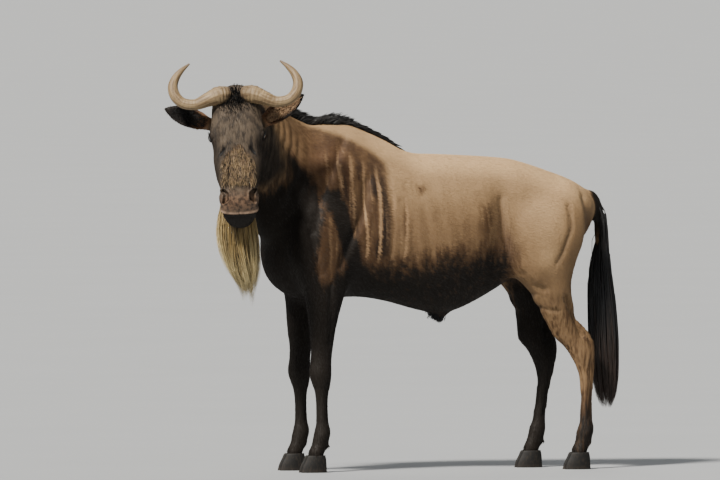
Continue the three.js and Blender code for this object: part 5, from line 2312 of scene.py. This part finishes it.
@dataclass
class FaceHair:
    """The rough hair of the nose's bridge, the dark hair between the horns, and that in the ears, with how many
    strands each has."""

    bridge_count: int = 2500
    poll_count: int = 1100
    left_ear_count: int = 700
    right_ear_count: int = 350
    lash_count: int = 64
    tuft_count: int = 200

    def on_face(self, skin: BVHTree, x: float, y: float) -> tuple[Array, Array] | None:
        """Where the brow or bridge lies at a place of the head's own frame, and which way it faces.

        Args:
            skin: the skin, in millimetres.
            x: the place down the face.
            y: the place across it.

        Returns:
            The place and the way, or None where there is no skin.
        """
        above = HEAD.put(np.array([x, y, 190]))
        hit, normal, *_ = skin.ray_cast(Vector(above), Vector(-HEAD.axes[:, 2]), 160)
        return None if hit is None else (np.array(hit), np.array(normal))

    def bridge(self, skin: BVHTree, finish: Material) -> Piece:
        """Golden-brown tufts down the bridge of the nose, in untidy rows.

        Args:
            skin: the skin, in millimetres.
            finish: the material.

        Returns:
            The piece.
        """
        dice = np.random.default_rng(41)
        clumps = dice.normal(size=(18, 12, 3))
        locks = Locks("nose_hair")
        for _ in range(self.bridge_count):
            x, y = 226 + 152 * dice.random() ** 0.8, 60 * (2 * dice.random() - 1)
            room = 12 + (x - 230) * 0.8
            if abs(y) > min(room, 60 + 8 * dice.normal()) or dice.random() > min(1.25 - abs(y) / 80, (392 - x) / 45):
                continue
            found = self.on_face(skin, x, y)
            if found is None:
                continue
            at, out = found
            pull = clumps[int((x - 230) / 12) % 18, int((y + 70) / 12) % 12]
            long = 32 + 7 * dice.normal() + 4 * pull[1]
            way = unit(HEAD.axes[:, 0] + HEAD.axes[:, 1] * (0.11 * pull[0] + y / 420 + 0.06 * dice.normal()))
            bow, tip = at + way * long * 0.5 + out * (4 + pull[1]), at + way * long + out * (2 + 1.5 * pull[2])
            locks.add(bent([at - out * 2, bow, tip], 5), 0.62, out)
        return locks.piece(finish, 42)

    def poll(self, skin: BVHTree, finish: Material) -> Piece:
        """Dark hair standing between the horns and round their bosses.

        Args:
            skin: the skin, in millimetres.
            finish: the material.

        Returns:
            The piece.
        """
        dice = np.random.default_rng(51)
        locks = Locks("poll_hair")
        for _ in range(self.poll_count):
            x, y = 52 + 24 * dice.normal(), 66 * (2 * dice.random() - 1)
            found = self.on_face(skin, x, y)
            if found is None:
                continue
            at, out = found
            way = unit(HEAD.axes[:, 0] * 0.45 * dice.normal() + out + HEAD.axes[:, 1] * 0.2 * dice.normal())
            long = 12 + 3 * dice.normal() + 10 * math.exp(-((y / 14) ** 2))
            tip = at + way * long + HEAD.axes[:, 0] * long * 0.4
            locks.add(bent([at - out * 2, at + way * long * 0.55, tip], 5), 1.1, HEAD.axes[:, 0])
        return locks.piece(finish, 52)

    def in_ear(self, side: str, skin: BVHTree, finish: Material) -> Piece:
        """Long soft hair from the walls of an ear towards its opening.

        Args:
            side: left or right.
            skin: the skin, in millimetres.
            finish: the material.

        Returns:
            The piece.
        """
        dice = np.random.default_rng(61)
        ear = EARS[side]
        along, across, out = ear.axes
        length = float(np.linalg.norm(np.subtract(ear.tip, ear.root)))
        turned = HEAD.axes
        locks = Locks(f"ear_hair_{side}")
        for _ in range(self.left_ear_count if side == "left" else self.right_ear_count):
            t, s = 0.12 + 0.72 * dice.random(), 0.85 * (2 * dice.random() - 1)
            wide = Curve(ear.table)(t)[0, 0]
            above = np.array(ear.root) + along * t * length + across * s * wide + out * 70
            hit = struck(skin, HEAD.put(above), -(turned @ out), 110)
            if hit is None:
                continue
            way = unit(along * 0.55 + out * 0.35 - across * s * 0.8 + 0.25 * dice.normal(size=3))
            long = (24 + 6 * dice.normal()) * (1.15 - 0.5 * t)
            at = hit - turned @ out * 1.5
            bow = at + turned @ (way * 0.55 + out * 0.12) * long
            locks.add(bent([at, bow, at + turned @ way * long], 5), 0.75, turned @ out)
        return locks.piece(finish, 62)

    def lashes(self, side: int, finish: Material) -> Piece:
        """The lashes of one upper lid.

        Args:
            side: 1 on the left and -1 on the right.
            finish: the material.

        Returns:
            The piece.
        """
        dice = np.random.default_rng(66)
        forward, brow = FACE.eye_axes()
        flip = np.array([1, side, 1])
        locks = Locks(f"lashes_{'left' if side > 0 else 'right'}")
        for a in np.linspace(-0.78, 0.82, self.lash_count):
            b = 0.5 * (1 - (a / 0.86) ** 2) + 0.03 * dice.normal()
            way = forward * a + brow * b + EYE_LOOK * math.sqrt(max(0.05, 1 - a * a - b * b))
            root = EYE_AT + way * (EYE_RADIUS + 1.5)
            long = 11 + 2 * dice.normal()
            lift = unit(way + brow * 0.9 + forward * 0.25 * dice.normal())
            line = bent([root, root + way * long * 0.5, root + way * long * 0.55 + lift * long * 0.5], 5)
            locks.add(HEAD.put(line * flip), 0.4, HEAD.axes @ (brow * flip))
        return locks.piece(finish, 67)

    def sheath_tuft(self, skin: BVHTree, finish: Material) -> Piece:
        """The dark tuft under the belly.

        Args:
            skin: the skin, in millimetres.
            finish: the material.

        Returns:
            The piece.
        """
        dice = np.random.default_rng(71)
        locks = Locks("belly_tuft")
        for _ in range(self.tuft_count):
            x, y = 66 + 15 * dice.normal(), 8 * dice.normal()
            hit = struck(skin, (x, y, 480), SKY, 200)
            if hit is None:
                continue
            at = hit + SKY * 2
            tip = at + np.array([-4 + 4 * dice.normal(), 3 * dice.normal(), -15 - 4 * dice.normal()])
            locks.add(bent([at, (at + tip) / 2 + [3, 0, -3], tip], 5), 1.2, np.array([0, -1.0, 0]))
        return locks.piece(finish, 72)


# Horns, eyes and hooves


@dataclass
class Horn:
    """One horn, from its rough boss to its tip, on the left side of the head's own frame."""

    side: int
    sides: int = 72
    steps: int = 190
    table: Rows = (
        (38, 25, 81, 22), (37, 39, 86, 32), (41, 62, 91, 34), (56, 102, 92, 27), (73, 150, 89, 20.5),
        (66, 196, 91, 19.5), (41, 222, 96, 20), (6, 231, 103, 18.5), (-26, 220, 109, 15), (-54, 198, 113, 10),
        (-80, 167, 116, 3),
    )

    def build(self, name: str, finish: Material) -> Piece:
        """The horn with its lumps and shallow rings.

        Args:
            name: the piece's name.
            finish: the material.

        Returns:
            The piece.
        """
        rings = bar(self.table, self.sides, self.steps)
        middle = rings.mean(1, keepdims=True)
        share = np.linspace(0, 1, len(rings))[:, None]
        angle = around(self.sides)[None, :]
        rough = 1 - ramp(share, 0.12, 0.42)
        lump = 0.05 * np.sin(3 * angle + 9 * share * 6) * np.sin(share * 60 + 1.5 * np.sin(2 * angle))
        ridge = 0.022 * np.sin(share * 150 + 0.8 * np.sin(angle * 2))
        fine = 0.008 * np.sin(share * 330 + 3 * np.sin(angle + share * 20))
        rings = middle + (rings - middle) * (1 + rough * (lump + ridge) + fine)[..., None]
        rings = rings * np.array([1, self.side, 1])
        made = Shell.loft(HEAD.put(rings)).object(name)
        flat = np.concatenate([np.repeat(share[:, 0], self.sides), [0, 1]])
        note(made.data, "along", flat)
        turn = np.concatenate([np.tile(around(self.sides), len(rings)), [0, 0]])
        note(made.data, "grain", np.column_stack([3.5 * np.cos(turn), 3.5 * np.sin(turn), flat * 9]))
        return finished(made, finish)


@dataclass
class Eye:
    """An eyeball with a bulging cornea."""

    side: int

    def build(self, name: str, finish: Material) -> Piece:
        """The ball, with its iris and level pupil stored on its points.

        Args:
            name: the piece's name.
            finish: the material.

        Returns:
            The piece.
        """
        forward, brow = FACE.eye_axes()
        polar = np.linspace(0, np.pi, 50)[1:-1, None]
        turn = around(96)[None, :]
        lateral = np.sin(polar) * np.cos(turn), np.sin(polar) * np.sin(turn)
        way = lateral[0][..., None] * forward + lateral[1][..., None] * brow + np.cos(polar)[..., None] * EYE_LOOK
        bulge = 1 + 0.05 * ramp(np.cos(polar), 0.80, 0.94)[..., None]
        rings = (EYE_AT + EYE_RADIUS * bulge * way) * np.array([1, self.side, 1])
        made = Shell.loft(HEAD.put(rings)).object(name)
        flat = np.vstack([way.reshape(-1, 3), EYE_LOOK, -EYE_LOOK])
        a, b, c = flat @ forward, flat @ brow, flat @ EYE_LOOK
        note(made.data, "pupil", ramp(np.hypot(a / 0.40, b / 0.22), 1.1, 0.9) * (c > 0))
        note(made.data, "rim", ramp(c, 0.74, 0.66))
        note(made.data, "look", flat)
        return finished(made, finish)


@dataclass
class Hoof:
    """Two claws and the soft bulb behind them. Each row of a claw is a share of its height, its length and width."""

    leg: Leg
    length: float = 98
    height: float = 63.7
    claw_width: float = 34
    cleft: float = 5
    table: Rows = ((0, 1, 1), (0.3, 0.94, 0.99), (0.7, 0.8, 0.93), (0.93, 0.7, 0.84), (1, 0.63, 0.76))

    def claw(self, heel: float, y: float, inner: int) -> Shell:
        """One claw, bowed towards the other.

        Args:
            heel: where it ends behind.
            y: its middle across.
            inner: which way the other claw lies.

        Returns:
            The closed shell.
        """
        share = np.linspace(0, 1, 25)[:, None]
        long, wide = (c[:, None] for c in Curve(self.table)(share[:, 0]).T)
        angle = around(56)[None, :]
        ahead = (1 - np.cos(angle)) / 2
        outline = leaned(np.sin(angle), 0.75) * (1 - 0.45 * ahead**2.5)
        x = heel - 2 - 3 * share - 5 * share**8 - self.length * long * ahead
        side = y + 5 * inner * ahead**2 + self.claw_width / 2 * wide * outline
        return Shell.loft(np.stack([x, side, self.height * share + 0 * x], -1))

    def build(self, finish: Material) -> Piece:
        """The hoof as one solid.

        Args:
            finish: the material.

        Returns:
            The piece.
        """
        ankle = self.leg.table[0][1] - self.leg.stance.value[0][1] + 42
        y = self.leg.side * LEG_SPREAD
        apart = (self.claw_width + self.cleft) / 2
        z = np.linspace(8, self.height - 0.5, 16)[:, None]
        angle = around(48)[None, :]
        bulb = np.stack([ankle - 26 + 24 * np.cos(angle) + 0 * z, y + 28 * np.sin(angle) + 0 * z, z + 0 * angle], -1)
        name = f"{self.leg.name}_hoof_horn"
        made = Shell.loft(bulb).object(name)
        for way in (-1, 1):
            claw = self.claw(ankle, y + way * apart, -way).object(f"{name}_claw")
            boolean(made, claw, "UNION")
        return finished(made, finish)


# The studio


@dataclass
class Studio:
    """A plain pale floor, soft lights, and a camera at the photograph's angle. Each lamp has its azimuth and
    elevation, its power and its width in degrees."""

    key: Sequence[float] = (-52, 47, 7.6, 9)
    rim: Sequence[float] = (165, 50, 0.6, 30)
    away: float = 60.0
    wide: float = 2.678
    azimuth: float = -18.0
    elevation: float = 1.5
    middle: tuple[float, float] = (-0.223, 0.8556)

    def camera(self) -> None:
        """Sets the camera far away with a long lens, as the photograph was taken."""
        turn, rise = math.radians(self.azimuth), math.radians(self.elevation)
        right = Vector((math.cos(turn), math.sin(turn), 0))
        look = Vector((-math.sin(turn) * math.cos(rise), math.cos(turn) * math.cos(rise), -math.sin(rise)))
        target = right * self.middle[0] + Vector((0, 0, self.middle[1])) + Vector(PLACE.shift)
        lens = bpy.data.cameras.new("camera")
        lens.lens = 36 * self.away / self.wide
        lens.clip_end = 2000
        made = linked("camera", lens)
        made.location = target - look * self.away
        made.rotation_euler = look.to_track_quat("-Z", "Y").to_euler()
        bpy.context.scene.camera = made

    def light(self, name: str, azimuth: float, elevation: float, power: float, size: float) -> None:
        """Sets a soft far lamp; at azimuth 0 it stands on the left side of the animal.

        Args:
            name: its name.
            azimuth: in degrees.
            elevation: in degrees.
            power: its strength.
            size: its width in degrees.
        """
        lamp = bpy.data.lights.new(name, "SUN")
        lamp.angle, lamp.energy, lamp.color = math.radians(size), power, (1, 0.95, 0.87)
        made = linked(name, lamp)
        turn, rise = math.radians(azimuth), math.radians(elevation)
        way = Vector((math.sin(turn) * math.cos(rise), -math.cos(turn) * math.cos(rise), math.sin(rise)))
        made.location = way * 9
        made.rotation_euler = (-way).to_track_quat("-Z", "Y").to_euler()

    def floor(self) -> None:
        """Lays the floor, far wider than any camera sees."""
        turn, radius, thickness = around(96), 400000.0, 40.0
        rim = np.stack([radius * np.cos(turn), radius * np.sin(turn), 0 * turn], -1)
        made = Shell.loft(np.stack([rim - thickness * SKY, rim]) - PLACE.shift / MM).object("floor")
        paint = Paint("floor")
        at = paint.node("ShaderNodeTexCoord", output="Object")
        tone = paint.noise(at, 1.3, 2)
        colour = paint.mix(tone, tint(0.61, 0.62, 0.63), tint(0.63, 0.64, 0.65))
        made.data.materials.append(paint.finish(colour, 0.85, 0.2))

    def sky(self) -> None:
        """Sets an even pale surround."""
        world = bpy.data.worlds.new("surround")
        world.use_nodes = True
        tree = world.node_tree
        shade = tree.nodes["Background"]
        shade.inputs["Color"].default_value = tint(0.90, 0.92, 0.94)
        seen = tree.nodes.new("ShaderNodeLightPath")
        strength = tree.nodes.new("ShaderNodeMapRange")
        tree.links.new(seen.outputs["Is Camera Ray"], strength.inputs[0])
        strength.inputs[3].default_value, strength.inputs[4].default_value = 0.36, 0.72
        tree.links.new(strength.outputs[0], shade.inputs["Strength"])
        bpy.context.scene.world = world

    def build(self) -> None:
        """Sets up all of it."""
        self.camera()
        self.floor()
        self.sky()
        self.light("key", *self.key)
        self.light("rim", *self.rim)


# Putting it together


@dataclass
class Wildebeest:
    """The whole animal."""

    coat: CoatFinish = CoatFinish("coat", True)
    hide: CoatFinish = CoatFinish("hide", False)
    mane_hair: HairFinish = HairFinish(
        "mane_hair", tint(0.045, 0.04, 0.04), tint(0.06, 0.056, 0.056), tint(0.085, 0.08, 0.08), 0.5, 0.56
    )
    beard_hair: HairFinish = HairFinish(
        "beard_hair", tint(0.17, 0.135, 0.085), tint(0.57, 0.48, 0.30), tint(0.90, 0.82, 0.61), 1.3, 0.5
    )
    tail_strands: HairFinish = HairFinish(
        "tail_strands", tint(0.07, 0.06, 0.055), tint(0.115, 0.115, 0.12), tint(0.25, 0.20, 0.175), 0.7, 0.45
    )
    nose_strands: HairFinish = HairFinish(
        "nose_strands", tint(0.085, 0.065, 0.045), tint(0.38, 0.29, 0.195), tint(0.86, 0.74, 0.55), 1.7, 0.5
    )
    pale_strands: HairFinish = HairFinish(
        "pale_strands", tint(0.26, 0.19, 0.135), tint(0.56, 0.44, 0.33), tint(0.80, 0.68, 0.53), 0.8, 0.5
    )

    def show(self, piece: Piece, slot: str, *nodes: str) -> None:
        """Puts a finished piece on the body and hides what it stands for.

        Args:
            piece: the piece.
            slot: not used.
            *nodes: the solids that it stands for.
        """
        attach(piece, "root")
        if nodes:
            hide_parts(*nodes)
        faces = sum(len(face.vertices) - 2 for face in piece.data.polygons)
        log.info("%s: %d triangles", piece.name, faces)

    def skin_and_coat(self) -> BVHTree:
        """Models the skin, grows the short coat, and returns the skin's search tree in millimetres."""
        skin = finished(Skin().build(), self.hide.material())
        tree = Shell(PLACE.back(places_of(skin.data)), [tuple(f.vertices) for f in skin.data.polygons]).tree()
        sower = ShortCoat()
        nodes, blade, finish = sower.tree(), sower.blade(), self.coat.material()
        slots = {Region.HEAD: "face_coat", Region.NECK: "neck_coat"}
        slots |= dict.fromkeys((Region.FORELEGS, Region.HINDLEGS), "leg_coat")
        for region in Region:
            self.show(sower.sow(skin, region, nodes, blade, finish, 1.0), slots.get(region, "body_coat"))
        bpy.data.objects.remove(blade)
        flesh = ["torso", "neck", "head", "ear_left", "ear_right"]
        flesh += [f"{leg.name}_{part}" for leg in LEGS for part in ("upper", "lower")]
        self.show(skin, "body_coat", *flesh)
        return tree

    def long_hair(self, skin: BVHTree) -> None:
        """Grows all the long hair.

        Args:
            skin: the skin, in millimetres.
        """
        black, pale = self.mane_hair.material(), self.pale_strands.material()
        face = FaceHair()
        self.show(Mane().build(skin, black), "neck_coat")
        self.show(Beard().build(skin, self.beard_hair.material()), "face_coat")
        self.show(Tail().build(skin, self.tail_strands.material()), "tail_hair", "tail")
        self.show(face.bridge(skin, self.nose_strands.material()), "face_coat")
        self.show(face.poll(skin, black), "face_coat")
        for side, finish in (("left", pale), ("right", black)):
            self.show(face.in_ear(side, skin, finish), "ear_coat")
        for side in (1, -1):
            self.show(face.lashes(side, black), "face_coat")
        self.show(face.sheath_tuft(skin, black), "body_coat")

    def hard_parts(self) -> None:
        """Makes the horns, the eyes and the hooves."""
        horn, eye, hoof = HornFinish().material(), EyeFinish().material(), HoofFinish().material()
        for name, side in (("left", 1), ("right", -1)):
            self.show(Horn(side).build(f"horn_{name}_fine", horn), "horn", f"horn_{name}")
            self.show(Eye(side).build(f"eyeball_{name}", eye), "eye", f"eye_{name}")
        for leg in LEGS:
            self.show(Hoof(leg).build(hoof), "hoof", f"{leg.name}_hoof")


def main() -> None:
    """Builds the studio and the animal."""
    logging.basicConfig(level=logging.INFO, format="%(name)s: %(message)s")
    Studio().build()
    animal = Wildebeest()
    animal.hard_parts()
    animal.long_hair(animal.skin_and_coat())


if __name__ == "__main__":
    main()
